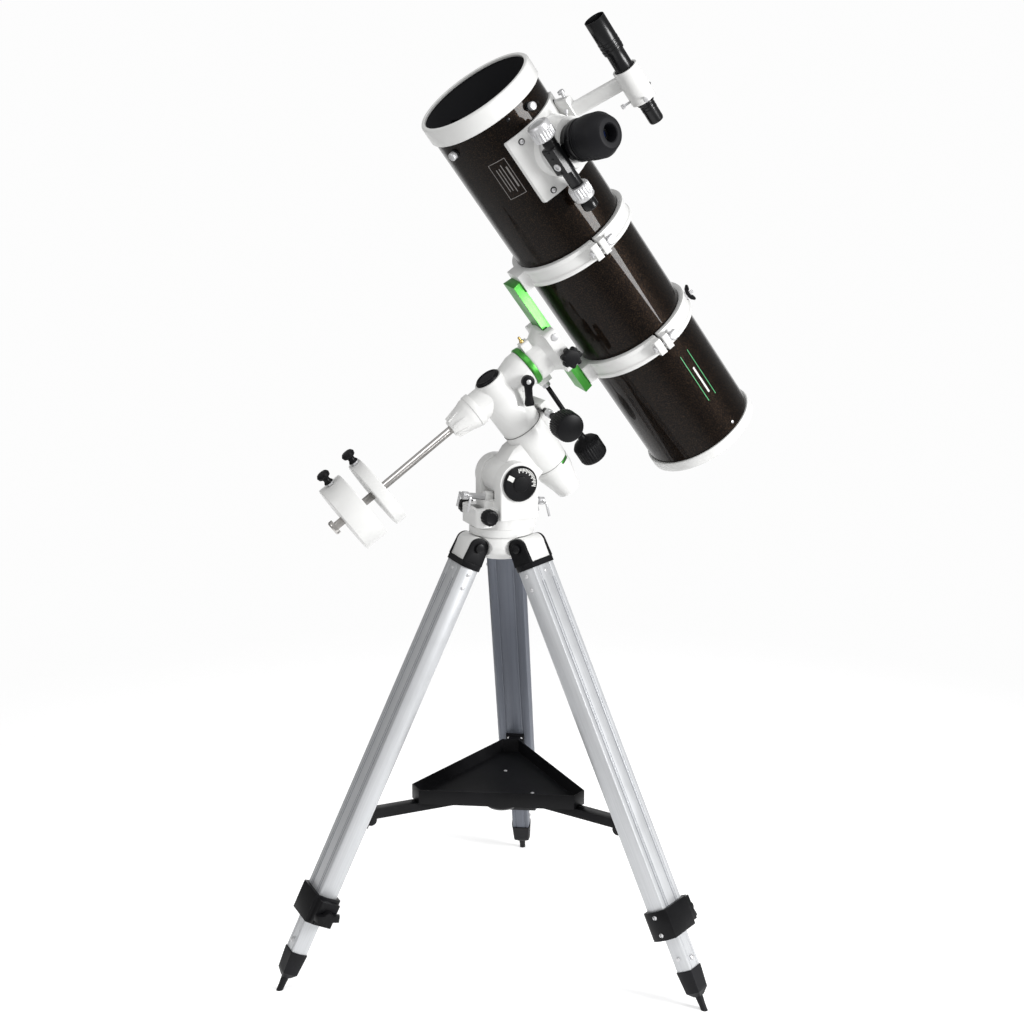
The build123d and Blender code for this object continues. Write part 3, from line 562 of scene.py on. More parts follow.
def rounded_copy(node, width, segments, bases):
    """Copies a CAD node with rounded edges and a proper material."""
    solids = split_solids(frame["nodes"][node].data)
    for i, bm in enumerate(solids):
        base = home_frame(node) if bases is None else nearest_frame(bm, bases)
        bmesh.ops.dissolve_limit(
            bm, angle_limit=math.radians(FLAT_ANGLE), verts=bm.verts, edges=bm.edges,
            use_dissolve_boundaries=False,
        )
        bmesh.ops.recalc_face_normals(bm, faces=bm.faces)
        name = node + "_body" if len(solids) == 1 else f"{node}_body_{i + 1}"
        mesh = bpy.data.meshes.new(name)
        bm.to_mesh(mesh)
        bm.free()
        obj = bpy.data.objects.new(name, mesh)
        bpy.context.scene.collection.objects.link(obj)
        settle(obj, base, width, segments)
        dress(obj, SLOT_MATERIAL[SLOT_OF[node]])
        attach(obj, BODY_OF[node])
        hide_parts(node)


def blacken_inside(obj, limit):
    """Gives the faces closer to the tube's axis than limit the flocked finish."""
    obj.data.materials.append(MATERIALS["black_paint_and_painted_shade"])
    back = OTA.inverted()
    for face in obj.data.polygons:
        middle = back @ face.center
        if math.hypot(middle.x, middle.y) < limit:
            face.material_index = 1


SHADE_LIMIT = 0.05
NEAR_AXIS = 5


def paint_shade_on_underside(obj, base):
    """Paints shade onto the faces of a leg that look inward and down: they get the darker
    painted-shade copy of the anodising.
    """
    back = base.inverted()
    if abs((back @ centre_of(obj.data)).x) > NEAR_AXIS:
        return
    obj.data.materials.append(MATERIALS["leg_painted_shade"])
    inward = (base.to_3x3() @ Vector((0, 1, 0))).normalized()
    for face in obj.data.polygons:
        if face.normal.dot(inward) > SHADE_LIMIT:
            face.material_index = 1


OTHER_SIDE = 1000
ABOVE_LEG = -80


def nearest_frame(bm, bases):
    """The leg frame that a solid lies along."""
    middle = centre_of(bm)

    def offset(base):
        local = base.inverted() @ middle
        return abs(local.x) + (OTHER_SIDE if local.z < ABOVE_LEG else 0)

    return min(bases, key=offset)


EDGES = {
    "leg_uppers": 0.25,
    "leg_lower_north": 0.3,
    "leg_lower_southeast": 0.3,
    "leg_lower_southwest": 0.3,
    "tube": 0.0,
    "tube_front_ring": 1.0,
    "tripod_head": 2.0,
    "mount_base": 2.0,
    "ra_housing": 2.0,
    "dec_housing": 2.0,
    "saddle": 1.5,
    "counterweight_large": 0.8,
    "counterweight_small": 0.8,
    "foot_north": 1.2,
    "foot_southeast": 1.2,
    "foot_southwest": 1.2,
    "ring_bases": 0.8,
    "ring_cap_front": 0.8,
    "ring_cap_rear": 0.8,
    "focuser_base": 1.2,
    "accessory_tray": 0.5,
    "eyepiece": 1.5,
}
MADE_BY_HAND = {
    "ra_knob", "dec_knob", "focus_knobs", "eyepiece", "azimuth_knob_west", "azimuth_knob_east",
}
TUBE_BORE = 90.4
SEVERAL = {"leg_uppers", "leg_forks", "leg_clamps", "leg_pivot_bolts"}
for node in sorted(frame["nodes"]):
    if node in MADE_BY_HAND:
        continue
    edge = EDGES.get(node, 0.5)
    bases = list(LEGS.values()) if node in SEVERAL else None
    rounded_copy(node, edge, 3 if edge >= 1 else 2, bases)
blacken_inside(bpy.data.objects["tube_body"], TUBE_BORE)
# Painted shade: the rear (southeast) leg's inward faces get the darker copy of the anodising; the
# other two legs keep the plain finish.
for piece in list(bpy.data.objects):
    if piece.name == "leg_lower_southeast_body" or piece.name.startswith("leg_uppers_body"):
        paint_shade_on_underside(piece, LEGS["southeast"])

# ---------------------------------------------------------------- mount controls
KNOB_STEPS = 144
BOLT_STEPS = 36
SCREW_STEPS = 24
HEX_ONLY = fluted(1, 0)
FINE_EDGE = 0.12
SMALL_EDGE = 0.15
SCREW_EDGE = 0.2
KNOB_EDGE = 0.3


def turn_piece(name, profile, base, body, material, edge, steps, shape=None, **extra):
    """Finished piece from turned (radius, height) stations in millimetres."""
    return make(name, lathe(profile, steps, shape), base, body, material, edge, **extra)


WORM_PLACE = (-5, -41, -56)
WORM_DIR = (-0.987, 0.083, -0.13)
WORM = inside(POLAR, WORM_PLACE, (0, 1, 0), WORM_DIR)
RA_KNOB = (
    (0, 10), (4, 10), (4, 44), (6.4, 45), (6.4, 75), (9, 76), (17, 76), (21, 77, "rib"),
    (24, 80, "rib"), (24, 103, "rib"), (22.8, 106), (20.5, 107.5), (0, 108),
)
RA_COLLAR = (
    (0, 27), (7, 27), (7, 35), (5.5, 36), (5.5, 38), (7, 39), (7, 44), (0, 44),
)
turn_piece(
    "ra_knob_fluted", RA_KNOB, WORM, "ra_control", "plastic", 0.25, KNOB_STEPS, fluted(36, 1.5),
    stands_for=("ra_knob",),
)
turn_piece("ra_shaft_collar", RA_COLLAR, WORM, "ra_control", "chrome", 0.5, 40)

SLOW_PLACE = (-59, -46, 79)
SLOW_DIR = (-1, 0, -0.02)
SLOW = inside(SADDLE, SLOW_PLACE, (0, 1, 0), SLOW_DIR)
DEC_KNOB = (
    (0, -14), (4, -14), (4, 118), (6, 118), (6.4, 122), (7.4, 126), (12, 129), (14, 129.6),
    (19.5, 133), (21, 135, "rib"), (24, 139, "rib"), (24, 163, "rib"), (22.6, 167), (20, 169.4),
    (12, 170), (0, 170),
)
DEC_COLLAR = ((0, 1.6), (7, 1.6), (7, 12), (0, 12))
turn_piece(
    "dec_knob_fluted", DEC_KNOB, SLOW, "dec_control", "plastic", KNOB_EDGE, KNOB_STEPS,
    fluted(30, 1.3), stands_for=("dec_knob",),
)
turn_piece("dec_shaft_collar", DEC_COLLAR, SLOW, "dec_control", "chrome", 0.6, 40)

AZIMUTH_KNOB = (
    (0, 9), (4, 9), (4, 38.4), (11, 38.4), (13, 40, "rib"), (13, 52, "rib"), (11.5, 54.4, "rib"),
    (8.5, 55), (7.5, 54.2), (0, 54.2),
)
for side, name in ((-1, "west"), (1, "east")):
    base = axes(JOINTS["azimuth_screw_turn_" + name]["pos_m"], (0, 1, 0), (side, 0, 0))
    turn_piece(
        f"azimuth_knob_{name}_lobed", AZIMUTH_KNOB, base, "azimuth_screw_" + name, "plastic", 0.4,
        112, fluted(14, 0.7), stands_for=("azimuth_knob_" + name,),
    )

LEVER_PIVOT = (-4, 0, 42)
LEVER = inside(HUB, LEVER_PIVOT, (1, 0, 0), (0, 1, 0))
LEVER_SCREW = ((0, 45.8), (4, 45.8), (4, 46.8), (3, 48), (0, 48.4))
turn_piece("ra_clutch_screw", LEVER_SCREW, LEVER, "ra_clutch_lever", "chrome", SCREW_EDGE, 28)

DIAL_TOP = 56.0
DIAL = inside(LATITUDE, (0, 0, 0), (-1, 0, 0), (0, 0, -1))
DIAL_BOSS = (
    (0, DIAL_TOP - 1), (13, DIAL_TOP - 1), (13, DIAL_TOP + 0.9), (12, DIAL_TOP + 1.6),
    (0, DIAL_TOP + 1.6),
)
turn_piece("dial_boss", DIAL_BOSS, DIAL, "polar_head", "plastic", SCREW_EDGE, 64)


def dial_tick(index, turn, inner, outer, width):
    """Short radial printed bar on the latitude dial; turn in degrees."""
    angle = math.radians(turn)
    base = inside(DIAL, (0, 0, DIAL_TOP), (math.cos(angle), math.sin(angle), 0), (0, 0, 1))
    bm = plate(outer - inner, width, -0.2, 0.12, at=((outer + inner) / 2, 0))
    make(f"dial_tick_{index}", bm, base, "polar_head", "print_white", 0)


TICKS = 19
TICK_START = -12
TICK_STEP = 6.2
TICK_WIDTH = 1.5
TICK_OUTER = 25.4
MAJOR_INNER = 18.5
MINOR_INNER = 21
for index in range(TICKS):
    inner = MAJOR_INNER if index % 3 == 0 else MINOR_INNER
    dial_tick(index, TICK_START + TICK_STEP * index, inner, TICK_OUTER, TICK_WIDTH)
dial_tick(TICKS, 150, 14.5, 25.5, 8)

SEAMS = ((-59.98, 34.0, "ra_head"), (-139.95, 31.2, "polar_head"))
SEAM_HALF = 0.35
for number, (height, radius, body) in enumerate(SEAMS):
    low, high = height - SEAM_HALF, height + SEAM_HALF
    inner, outer = radius - 1.2, radius + 0.06
    bm = lathe([(inner, low), (outer, low), (outer, high), (inner, high)], 96, closed=True)
    make(f"polar_seam_{number + 1}", bm, POLAR, body, "shadow_gap", 0)
bm = lathe([(15, 42.3), (18, 42.3), (18, 43.2), (15, 43.2)], 64, closed=True)
make("front_cap_ridge", bm, POLAR, "ra_head", "plastic", KNOB_EDGE)

CLUTCH_SCREW = inside(SADDLE, (42, 12, 76), (0, 1, 0), (1, 0, 0))
CLUTCH_PROFILE = ((0, -3), (3.6, -3), (3.6, 3), (2.4, 4), (2.0, 10), (0, 11))
turn_piece(
    "dec_clutch_screw", CLUTCH_PROFILE, CLUTCH_SCREW, "dec_head", "brass", KNOB_EDGE, SCREW_STEPS
)
SADDLE_PIN = inside(SADDLE, (26, 42, 117), (1, 0, 0), (0, 1, 0))
PIN_PROFILE = ((0, -1), (6, -1), (6, 1.4), (5.2, 2.2), (0, 2.2))
turn_piece("saddle_pin", PIN_PROFILE, SADDLE_PIN, "dec_head", "chrome", SCREW_EDGE, 32)

WEIGHT_NUT = ((0, 59.2), (5.5, 59.2, "hex"), (5.5, 63.6, "hex"), (0, 63.6))
for name, middle in (("large", -294.75), ("small", -245.0)):
    base = inside(HUB, (0, 0, middle), (0, 0, 1), (1, 0, 0))
    turn_piece(
        f"weight_{name}_nut", WEIGHT_NUT, base, "weight_lock_" + name, "chrome", SCREW_EDGE,
        BOLT_STEPS, HEX_ONLY,
    )

# ---------------------------------------------------------------- focuser and eyepiece
SHAFT = inside(FOCUSER, (0, 36, 119), (0, 1, 0), (1, 0, 0))
FOCUS_WHEELS = (
    (0, -78), (3, -78), (3, -76), (13, -76), (15, -75), (16.4, -73), (16.4, -68), (17, -67, "rib"),
    (17, -54, "rib"), (15, -51), (10, -51), (3, -51), (3, 35), (10, 35), (16, 35), (18, 37, "rib"),
    (18, 50, "rib"), (17.4, 51), (17.4, 58), (15.5, 60.4), (12.5, 61), (11.5, 60), (0, 60),
)
turn_piece(
    "focus_wheels_fluted", FOCUS_WHEELS, SHAFT, "focus_wheels", "chrome", SCREW_EDGE, 176,
    fluted(22, 1.5), stands_for=("focus_knobs",),
)

EYEPIECE = (
    (0, 150), (21, 150), (21, 112), (25.35, 112), (25.35, 146.4), (31, 146.4), (31, 149.6),
    (29.6, 150.2), (29.6, 152), (32.6, 152.6), (32.6, 159), (33.6, 160), (34, 168), (34, 182),
    (33, 185), (25, 198.6), (22.5, 200.6), (15, 201), (13.4, 199.5), (12.6, 192), (12.6, 178),
    (0, 178),
)
EYE_LENS = ((0, 177), (9.6, 177), (9.6, 181), (8, 182.6), (5, 183.6), (0, 184))
EYE_RING = ((9.6, 177.2), (12.7, 177.2), (12.7, 183), (10.4, 183), (9.6, 181.6))
turn_piece(
    "eyepiece_body", EYEPIECE, FOCUSER, "eyepiece", "rubber", KNOB_EDGE, 96,
    stands_for=("eyepiece",),
)
turn_piece("eyepiece_lens", EYE_LENS, FOCUSER, "eyepiece", "eye_lens", 0.1, 48)
bm = lathe(EYE_RING, 48, closed=True)
make("eyepiece_lens_ring", bm, FOCUSER, "eyepiece", "black_gloss", SCREW_EDGE)

PLATE_REACH = 95.5
PLATE_CORNERS = ((45, 30), (-44, 30), (45, -30), (-44, -30))
PLATE_WASHER = ((0, -1), (5, -1), (5, 0.7), (0, 0.7))
PLATE_SCREW = ((0, 0.5), (3.6, 0.5), (3.4, 2.4), (2.2, 3.4), (0, 3.8))
for number, (place, lean) in enumerate(PLATE_CORNERS):
    turn = math.radians(lean)
    out = (0, math.sin(turn), math.cos(turn))
    point = (place, PLATE_REACH * out[1], PLATE_REACH * out[2])
    base = inside(FOCUSER, point, (1, 0, 0), out)
    turn_piece(
        f"plate_washer_{number + 1}", PLATE_WASHER, base, "optical_tube", "black_gloss",
        SMALL_EDGE, 32,
    )
    turn_piece(
        f"plate_screw_{number + 1}", PLATE_SCREW, base, "optical_tube", "chrome", SMALL_EDGE, 28
    )

# Painted shade: dark discs on the flange face stand in for the shade inside its holes.
FLANGE_FACE = 97
FLANGE_HOLES = ((39, -16, 3.2), (40.5, -6, 1.3), (-27, 33, 3.2), (-34, 26, 1.3))
for number, (x, y, radius) in enumerate(FLANGE_HOLES):
    base = inside(FOCUSER, (x, y, FLANGE_FACE), (1, 0, 0), (0, 0, 1))
    hole = ((0, -2), (radius, -2), (radius, 0.25), (0, 0.25))
    turn_piece(
        f"flange_hole_{number + 1}", hole, base, "optical_tube", "black_paint_and_painted_shade", 0, SCREW_STEPS
    )


def thumb_screw(name, base, reach, radius, body, stem=1.8):
    """Small thumb screw standing along local Z with a grooved head."""
    profile = (
        (0, -4), (stem, -4), (stem, reach - 5), (radius, reach - 5), (radius, reach - 3.4),
        (radius * 0.8, reach - 3), (radius, reach - 2.6), (radius, reach - 0.6),
        (radius * 0.8, reach), (0, reach),
    )
    turn_piece(name, profile, base, body, "chrome", FINE_EDGE, 32)


COLLAR_RADIUS = 37
COLLAR_HEIGHT = 117
for number, turn in enumerate((-35, 140, 220)):
    angle = math.radians(turn)
    out = (math.cos(angle), math.sin(angle), 0)
    point = (COLLAR_RADIUS * out[0], COLLAR_RADIUS * out[1], COLLAR_HEIGHT)
    thumb_screw(
        f"collar_thumb_{number + 1}", inside(FOCUSER, point, (0, 0, 1), out), 11, 3.4,
        "optical_tube",
    )

PINION_TOP = inside(FOCUSER, (0, 47, 117), (1, 0, 0), (0, 1, 0))
PINION_CAP = (
    (0, -3), (6, -3), (6, 1.5), (5, 2.4), (2.6, 2.4, "hex"), (2.5, 0.6, "hex"), (0, 0.6),
)
PINION_SET_SCREW = ((0, -2), (2, -2), (2, 0.9), (0, 0.9))
base = inside(PINION_TOP, (-10, 0, 0), (1, 0, 0), (0, 0, 1))
turn_piece(
    "pinion_cap_screw", PINION_CAP, base, "optical_tube", "chrome", SMALL_EDGE, BOLT_STEPS,
    HEX_ONLY,
)
for number, x in enumerate((-21, 4, 15)):
    base = inside(PINION_TOP, (x, 0, 0), (1, 0, 0), (0, 0, 1))
    turn_piece(
        f"pinion_set_screw_{number + 1}", PINION_SET_SCREW, base, "optical_tube", "black_gloss",
        0.1, SCREW_STEPS,
    )

# ---------------------------------------------------------------- optical tube
TUBE_RADIUS = 91.0


def on_tube(turn, place, reach=TUBE_RADIUS):
    """Frame standing on the tube's skin, X along the tube."""
    out = (math.cos(math.radians(turn)), math.sin(math.radians(turn)), 0)
    return inside(OTA, (reach * out[0], reach * out[1], place), (0, 0, 1), out)


VANE_WASHER = ((0, -0.6), (7.4, -0.6), (7.4, 1.2), (0, 1.2))
VANE_SCREW = ((0, 1), (4, 1), (4, 3), (6.4, 3.4, "rib"), (6.4, 9.6, "rib"), (5.4, 10.6), (0, 10.6))
FRONT_SCREW = ((0, -1), (3, -1), (3, 1.2), (0, 1.6))
REAR_SCREW = ((0, -1), (2.6, -1), (2.6, 0.9), (0, 1.3))
VANE_TURN = 22.5
VANE_PLACE = 303
for number in range(4):
    base = on_tube(VANE_TURN + 90 * number, VANE_PLACE)
    turn_piece(
        f"vane_washer_{number + 1}", VANE_WASHER, base, "optical_tube", "black_gloss",
        SCREW_EDGE, BOLT_STEPS,
    )
    turn_piece(
        f"vane_screw_{number + 1}", VANE_SCREW, base, "optical_tube", "chrome", FINE_EDGE, 72,
        fluted(24, 0.5),
    )
base = on_tube(-92.7, 310.5)
turn_piece(
    "front_ring_screw", FRONT_SCREW, base, "optical_tube", "black_gloss", SMALL_EDGE, SCREW_STEPS
)
for number in range(3):
    base = on_tube(-71 + 120 * number, -321)
    turn_piece(
        f"rear_ring_screw_{number + 1}", REAR_SCREW, base, "optical_tube", "chrome", SMALL_EDGE,
        SCREW_STEPS,
    )


def printed(name, turn_low, turn_high, start, end, material):
    """Thin printed patch on the tube; turns in degrees round the tube."""
    low, high = math.radians(turn_low), math.radians(turn_high)
    bm = arc_strip(TUBE_RADIUS + 0.03, 0.09, low, high, start, end)
    make(name, bm, OTA, "optical_tube", material, 0)


LABEL_LOW, LABEL_HIGH = -133.0, -115.0
LABEL_REAR, LABEL_FRONT = 204.0, 267.0
LINE = 0.9
LINE_TURN = 0.55
LABEL_BARS = ((-119, 1.5, 36), (-122.5, 0.8, 48), (-125.7, 0.8, 40), (-128.6, 0.8, 40))
inner_low, inner_high = LABEL_LOW + LINE_TURN, LABEL_HIGH - LINE_TURN
printed("label_edge_low", LABEL_LOW, inner_low, LABEL_REAR, LABEL_FRONT, "print_grey")
printed("label_edge_high", inner_high, LABEL_HIGH, LABEL_REAR, LABEL_FRONT, "print_grey")
printed("label_edge_rear", inner_low, inner_high, LABEL_REAR, LABEL_REAR + LINE, "print_grey")
printed("label_edge_front", inner_low, inner_high, LABEL_FRONT - LINE, LABEL_FRONT, "print_grey")
middle = (LABEL_REAR + LABEL_FRONT) / 2
for number, (turn, width, length) in enumerate(LABEL_BARS):
    start, end = middle - length / 2, middle + length / 2
    printed(f"label_bar_{number + 1}", turn, turn + width, start, end, "print_grey")
STRIPE = (-261, -168)
printed("stripe_near", -80.4, -79.7, *STRIPE, "print_green")
printed("stripe_far", -69.3, -68.6, *STRIPE, "print_green")
printed("stripe_middle", -75.4, -73.4, -250, -198, "print_white")

# ---------------------------------------------------------------- tube rings
RING_PLACES = (("front", 69.5), ("rear", -121.0))
HINGE_REACH = 107.5
RING_NUT = ((0, -1), (5, -1, "hex"), (5, 4.4, "hex"), (0, 4.4))
for name, place in RING_PLACES:
    base = inside(OTA, (-13.4, -HINGE_REACH, place), (0, 1, 0), (-1, 0, 0))
    turn_piece(
        f"ring_nut_{name}", RING_NUT, base, "ring_plate", "chrome", SCREW_EDGE, BOLT_STEPS,
        HEX_ONLY,
    )
STUD = on_tube(-17, -121, 97.4)
STUD_PROFILE = ((0, -1), (6.5, -1), (6.5, 3), (2.6, 3.6), (2.6, 15), (0, 15.6))
turn_piece("camera_stud", STUD_PROFILE, STUD, "ring_cap_rear", "chrome", SCREW_EDGE, 32)
WING = (
    (-15, 10.5), (-13, 13.5), (-7, 12), (-4.5, 9.5), (4.5, 9.5), (7, 12), (13, 13.5), (15, 10.5),
    (10, 5.5), (5, 3.8), (-5, 3.8), (-10, 5.5),
)
base = inside(STUD, (0, 0, 0), (1, 0, 0), (0, -1, 0))
make("camera_wing_nut", prism(WING, -3.2, 3.2), base, "ring_cap_rear", "plastic", 0.9, 3)

# ---------------------------------------------------------------- finder
FINDER_WALL = 19
FINDER_SCREWS = 222


def on_finder(turn):
    """Frame standing on the finder bracket's barrel, X along it; turn in degrees."""
    angle = math.radians(turn)
    out = (math.cos(angle), math.sin(angle), 0)
    point = (FINDER_WALL * out[0], FINDER_WALL * out[1], FINDER_SCREWS)
    return inside(FINDER, point, (0, 0, 1), out)


for number, turn in enumerate((200, 290)):
    thumb_screw(f"finder_thumb_{number + 1}", on_finder(turn), 15, 3.6, "optical_tube")
PLUNGER = ((0, -2), (4, -2), (4, 7), (2, 8), (2, 11), (0, 11))
FINDER_LENS = ((0, 318), (14.9, 318), (14.9, 345), (9, 347.4), (0, 348.4))
FINDER_EYE = ((0, 174.6), (6.5, 174.6), (6.5, 176), (0, 176))
FINDER_RIBS = ((304, 16), (310, 16), (316, 16), (196, 11.5), (201, 11.5))
turn_piece(
    "finder_plunger", PLUNGER, on_finder(65), "optical_tube", "black_gloss", KNOB_EDGE, 28
)
turn_piece("finder_lens", FINDER_LENS, FINDER, "finder_scope", "front_lens", 0.1, 48)
turn_piece("finder_eye_lens", FINDER_EYE, FINDER, "finder_scope", "eye_lens", 0.1, 32)
for number, (place, radius) in enumerate(FINDER_RIBS):
    inner, outer = radius - 1, radius + 0.35
    rib = ((inner, place), (outer, place), (outer, place + 3), (inner, place + 3))
    bm = lathe(rib, 64, closed=True)
    make(f"finder_rib_{number + 1}", bm, FINDER, "finder_scope", "black_gloss", 0.25)
SHOE_SCREW = inside(FOCUSER, (46, -50, 104), (0, 0, 1), (1, 0, 0))
thumb_screw("finder_shoe_screw", SHOE_SCREW, 14, 5.2, "optical_tube", 2.4)

# ---------------------------------------------------------------- tripod screws
UPPER_HALF = 32.0
LEG_FACE = 15.5
# Painted groove shade: span down the leg, offsets across the face and width of the dark strips on the
# upper legs.
GROOVE_SHADE_SPAN = (24, 572)
GROOVE_SHADE_OFFSETS = (-17.2, -11.4, 11.4, 17.2)
GROOVE_SHADE_WIDTH = 0.9
SIDE_SCREWS = (10, 33)
COLLAR_SCREWS = (580, 609)
LEG_SCREW = ((0, -0.5), (3.2, -0.5), (3.2, 0.8), (1.8, 1.7), (0, 1.9))
LEG_STOP = ((0, -0.6), (4, -0.6, "hex"), (4, 3, "hex"), (2.4, 3.4), (2.4, 4.6), (0, 4.8))
LEG_NUB = ((0, -0.6), (3, -0.6), (3, 2), (0, 2.6))
BRACKET_SCREW = ((0, -0.6), (2.6, -0.6), (2.6, 0.9), (0, 1.6))
TRAY_SCREW = ((0, -0.6), (3, -0.6), (3, 0.8), (0, 1.5))
TRAY_TOP = 285.8
TRAY_REACHES = (110, 62, 62)


def small_screw(name, profile, base, body, edge=FINE_EDGE, steps=SCREW_STEPS, shape=None):
    turn_piece(name, profile, base, body, "chrome", edge, steps, shape)


for place, base in LEGS.items():
    for side in (-1, 1):
        for number, down in enumerate(SIDE_SCREWS):
            spot = inside(base, (side * (UPPER_HALF - 0.3), 0, down), (0, 0, 1), (side, 0, 0))
            tag = f"leg_side_screw_{place}_{'a' if side < 0 else 'b'}{number + 1}"
            small_screw(tag, LEG_SCREW, spot, "tripod")
    spot = inside(base, (0, -15.3, 10), (0, 0, 1), (0, -1, 0))
    small_screw(f"leg_face_screw_{place}", LEG_SCREW, spot, "tripod")
    # Painted shade: thin dark strips along both wide faces of every upper leg stand in for the shade
    # in and beside the cut grooves.
    for face in (-1, 1):
        spot = inside(base, (0, face * LEG_FACE, 0), (1, 0, 0), (0, 0, 1))
        for number, across in enumerate(GROOVE_SHADE_OFFSETS):
            tag = f"leg_line_{place}_{'a' if face < 0 else 'b'}{number + 1}"
            bm = plate(GROOVE_SHADE_WIDTH, 0.3, *GROOVE_SHADE_SPAN, at=(across, 0))
            make(tag, bm, spot, "tripod", "leg_painted_shade", 0)
    for number, down in enumerate(COLLAR_SCREWS):
        spot = inside(base, (35.2, 0, down), (0, 0, 1), (1, 0, 0))
        slotted_screw(f"collar_screw_{place}_{number + 1}", spot, 3.6, 2.2, "tripod")
    spot = inside(base, (0, -13, 661), (0, 0, 1), (0, -1, 0))
    small_screw(
        f"leg_stop_{place}", LEG_STOP, spot, "leg_" + place, SMALL_EDGE, BOLT_STEPS, HEX_ONLY
    )
    spot = inside(base, (16.3, 0, 656), (0, 0, 1), (1, 0, 0))
    small_screw(f"leg_nub_{place}", LEG_NUB, spot, "leg_" + place, SMALL_EDGE)
    for side in (-1, 1):
        spot = inside(base, (side * 11, 22.4, 424), (1, 0, 0), (0, 1, 0))
        tag = f"bracket_screw_{place}_{'a' if side < 0 else 'b'}"
        small_screw(tag, BRACKET_SCREW, spot, "tripod")
for number, reach in enumerate(TRAY_REACHES):
    turn = math.radians(120 * number)
    point = (reach * math.sin(turn), reach * math.cos(turn), TRAY_TOP)
    spot = inside(GROUND, point, (1, 0, 0), (0, 0, 1))
    small_screw(f"tray_screw_{number + 1}", TRAY_SCREW, spot, "tripod")

# ---------------------------------------------------------------- camera, light, floor
VIEW_DISTANCE = 2782.2
VIEW_HEIGHT = 1423.2
VIEW_AZIMUTH = math.radians(294.19)
VIEW_PITCH = math.radians(13.56)
VIEW_YAW = math.radians(0.35)
LENS_MM = 62.83
SENSOR_MM = 36

camera = bpy.data.objects.new("camera", bpy.data.cameras.new("camera"))
bpy.context.scene.collection.objects.link(camera)
bpy.context.scene.camera = camera
camera.data.lens = LENS_MM
camera.data.sensor_width = SENSOR_MM
stand = Vector((math.sin(VIEW_AZIMUTH), math.cos(VIEW_AZIMUTH), 0)) * VIEW_DISTANCE * MM
camera.location = TRIPOD_AXIS + stand + Vector((0, 0, VIEW_HEIGHT * MM))
forward = -stand.normalized()
forward.rotate(Matrix.Rotation(-VIEW_YAW, 3, "Z"))
look = forward * math.cos(VIEW_PITCH) - Vector((0, 0, math.sin(VIEW_PITCH)))
camera.rotation_euler = look.to_track_quat("-Z", "Y").to_euler()


def area_light(name, azimuth, height, distance, size, power, aim=0.85):
    """Soft panel aimed at the object's axis; azimuth is counted from the camera's side."""
    lamp = bpy.data.objects.new(name, bpy.data.lights.new(name, "AREA"))
    bpy.context.scene.collection.objects.link(lamp)
    turn = VIEW_AZIMUTH + math.radians(azimuth)
    reach = Vector((math.sin(turn), math.cos(turn), 0)) * distance
    lamp.location = TRIPOD_AXIS + reach + Vector((0, 0, height))
    lamp.data.shape = "RECTANGLE"
    lamp.data.size, lamp.data.size_y = size
    lamp.data.energy = power
    target = TRIPOD_AXIS + Vector((0, 0, aim))
    lamp.rotation_euler = (target - lamp.location).to_track_quat("-Z", "Y").to_euler()


area_light("streak_panel", -63, 1.5, 3.2, (0.95, 1.15), 104)
area_light("side_panel", 55, 2.2, 2.8, (1.2, 1.8), 15)
area_light("top_panel", -20, 3.4, 1.6, (1.6, 1.6), 20)

bpy.context.scene.view_settings.view_transform = "Standard"


def ramp_node(nodes, links, factor, stops):
    """Colour ramp with grey stops given as (position, value)."""
    ramp = nodes.new("ShaderNodeValToRGB")
    elements = ramp.color_ramp.elements
    while len(elements) < len(stops):
        elements.new(0.5)
    for element, (position, value) in zip(elements, stops):
        element.position = position
        element.color = (value, value, value, 1)
    links.new(factor, ramp.inputs["Fac"])
    return ramp.outputs["Color"]


world = bpy.data.worlds.new("studio")
bpy.context.scene.world = world
world.use_nodes = True
nodes, links = world.node_tree.nodes, world.node_tree.links
direction = nodes.new("ShaderNodeTexCoord").outputs["Generated"]
along = nodes.new("ShaderNodeVectorMath")
along.operation = "DOT_PRODUCT"
links.new(direction, along.inputs[0])
along.inputs[1].default_value = look
shift = nodes.new("ShaderNodeMapRange")
shift.inputs["From Min"].default_value = -1
links.new(along.outputs["Value"], shift.inputs["Value"])
BACKDROP = ((0.0, 0.56), (0.3, 0.5), (0.5, 0.28), (0.91, 0.22), (0.955, 0.98), (1.0, 0.98))
backdrop = ramp_node(nodes, links, shift.outputs["Result"], BACKDROP)
split = nodes.new("ShaderNodeSeparateXYZ")
links.new(direction, split.inputs["Vector"])
overhead = ramp_node(nodes, links, split.outputs["Z"], ((0.45, 0.0), (0.8, 1.0)))
blend = nodes.new("ShaderNodeMix")
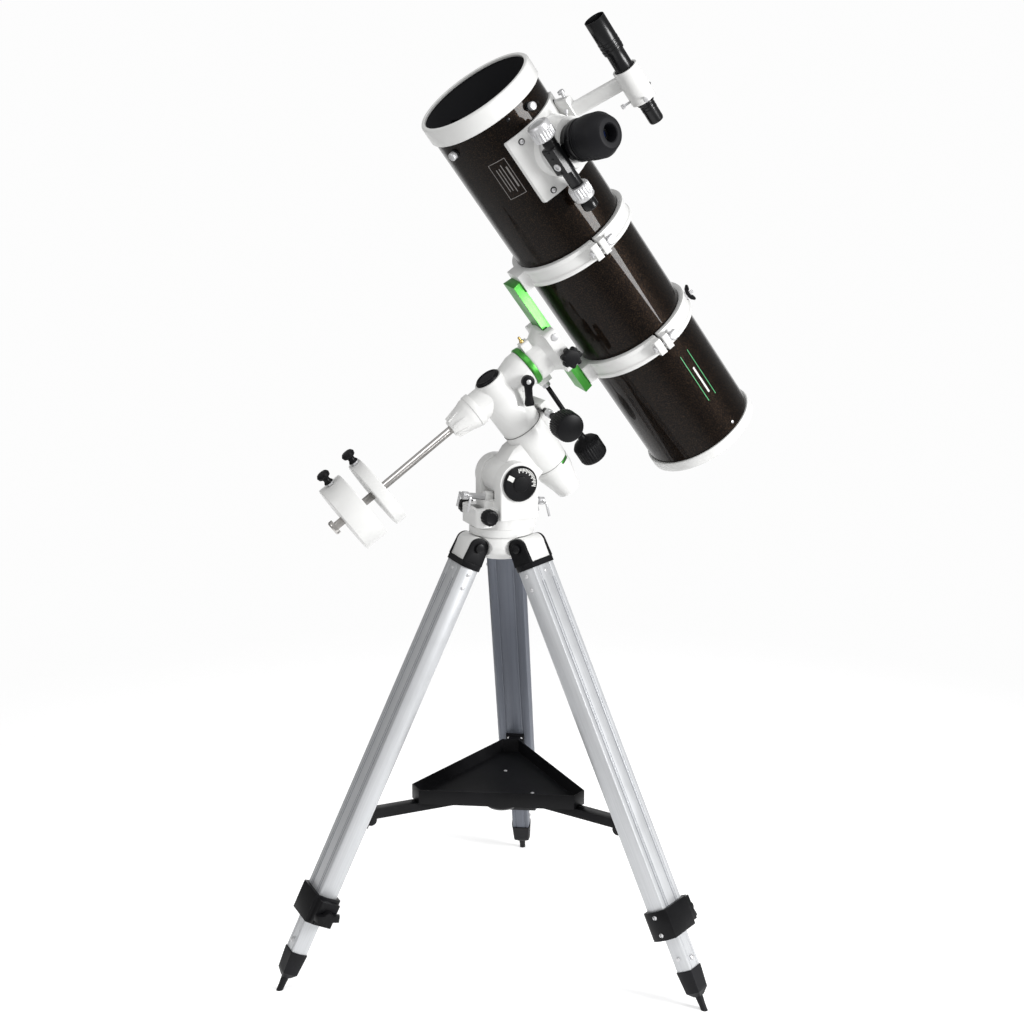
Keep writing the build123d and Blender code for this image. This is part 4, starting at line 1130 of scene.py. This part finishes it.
blend.data_type = "RGBA"
links.new(overhead, blend.inputs["Factor"])
links.new(backdrop, blend.inputs["A"])
blend.inputs["B"].default_value = (0.6, 0.6, 0.6, 1)
links.new(blend.outputs["Result"], nodes["Background"].inputs["Color"])
nodes["Background"].inputs["Strength"].default_value = 1.0


def floor_finish():
    """Pale matt floor that fades out into the backdrop."""
    material, nodes, links, bsdf = new_material("floor_pale")
    coords = nodes.new("ShaderNodeTexCoord").outputs["Object"]
    grain = noise(nodes, links, coords, 40)
    tone = blend_colour(nodes, links, grain, (0.90, 0.90, 0.90), (0.92, 0.92, 0.92))
    links.new(tone, bsdf.inputs["Base Color"])
    bsdf.inputs["Roughness"].default_value = 0.8
    bsdf.inputs["Specular IOR Level"].default_value = 0.1
    bsdf.inputs["Emission Color"].default_value = (1, 1, 1, 1)
    bsdf.inputs["Emission Strength"].default_value = 0.42
    distance = nodes.new("ShaderNodeVectorMath")
    distance.operation = "LENGTH"
    links.new(coords, distance.inputs[0])
    fade = nodes.new("ShaderNodeMapRange")
    fade.interpolation_type = "SMOOTHSTEP"
    fade.inputs["From Min"].default_value = 0.55
    fade.inputs["From Max"].default_value = 1.9
    links.new(distance.outputs["Value"], fade.inputs["Value"])
    clear = nodes.new("ShaderNodeBsdfTransparent")
    mix = nodes.new("ShaderNodeMixShader")
    links.new(fade.outputs["Result"], mix.inputs["Fac"])
    links.new(bsdf.outputs["BSDF"], mix.inputs[1])
    links.new(clear.outputs["BSDF"], mix.inputs[2])
    links.new(mix.outputs["Shader"], nodes["Material Output"].inputs["Surface"])
    return material


FLOOR_RADIUS = 2.0
floor_bm = bmesh.new()
bmesh.ops.create_circle(floor_bm, cap_ends=True, segments=96, radius=FLOOR_RADIUS)
floor_mesh = bpy.data.meshes.new("floor")
floor_bm.to_mesh(floor_mesh)
floor_bm.free()
floor = bpy.data.objects.new("floor", floor_mesh)
floor.location = TRIPOD_AXIS
bpy.context.scene.collection.objects.link(floor)
floor_mesh.materials.append(floor_finish())
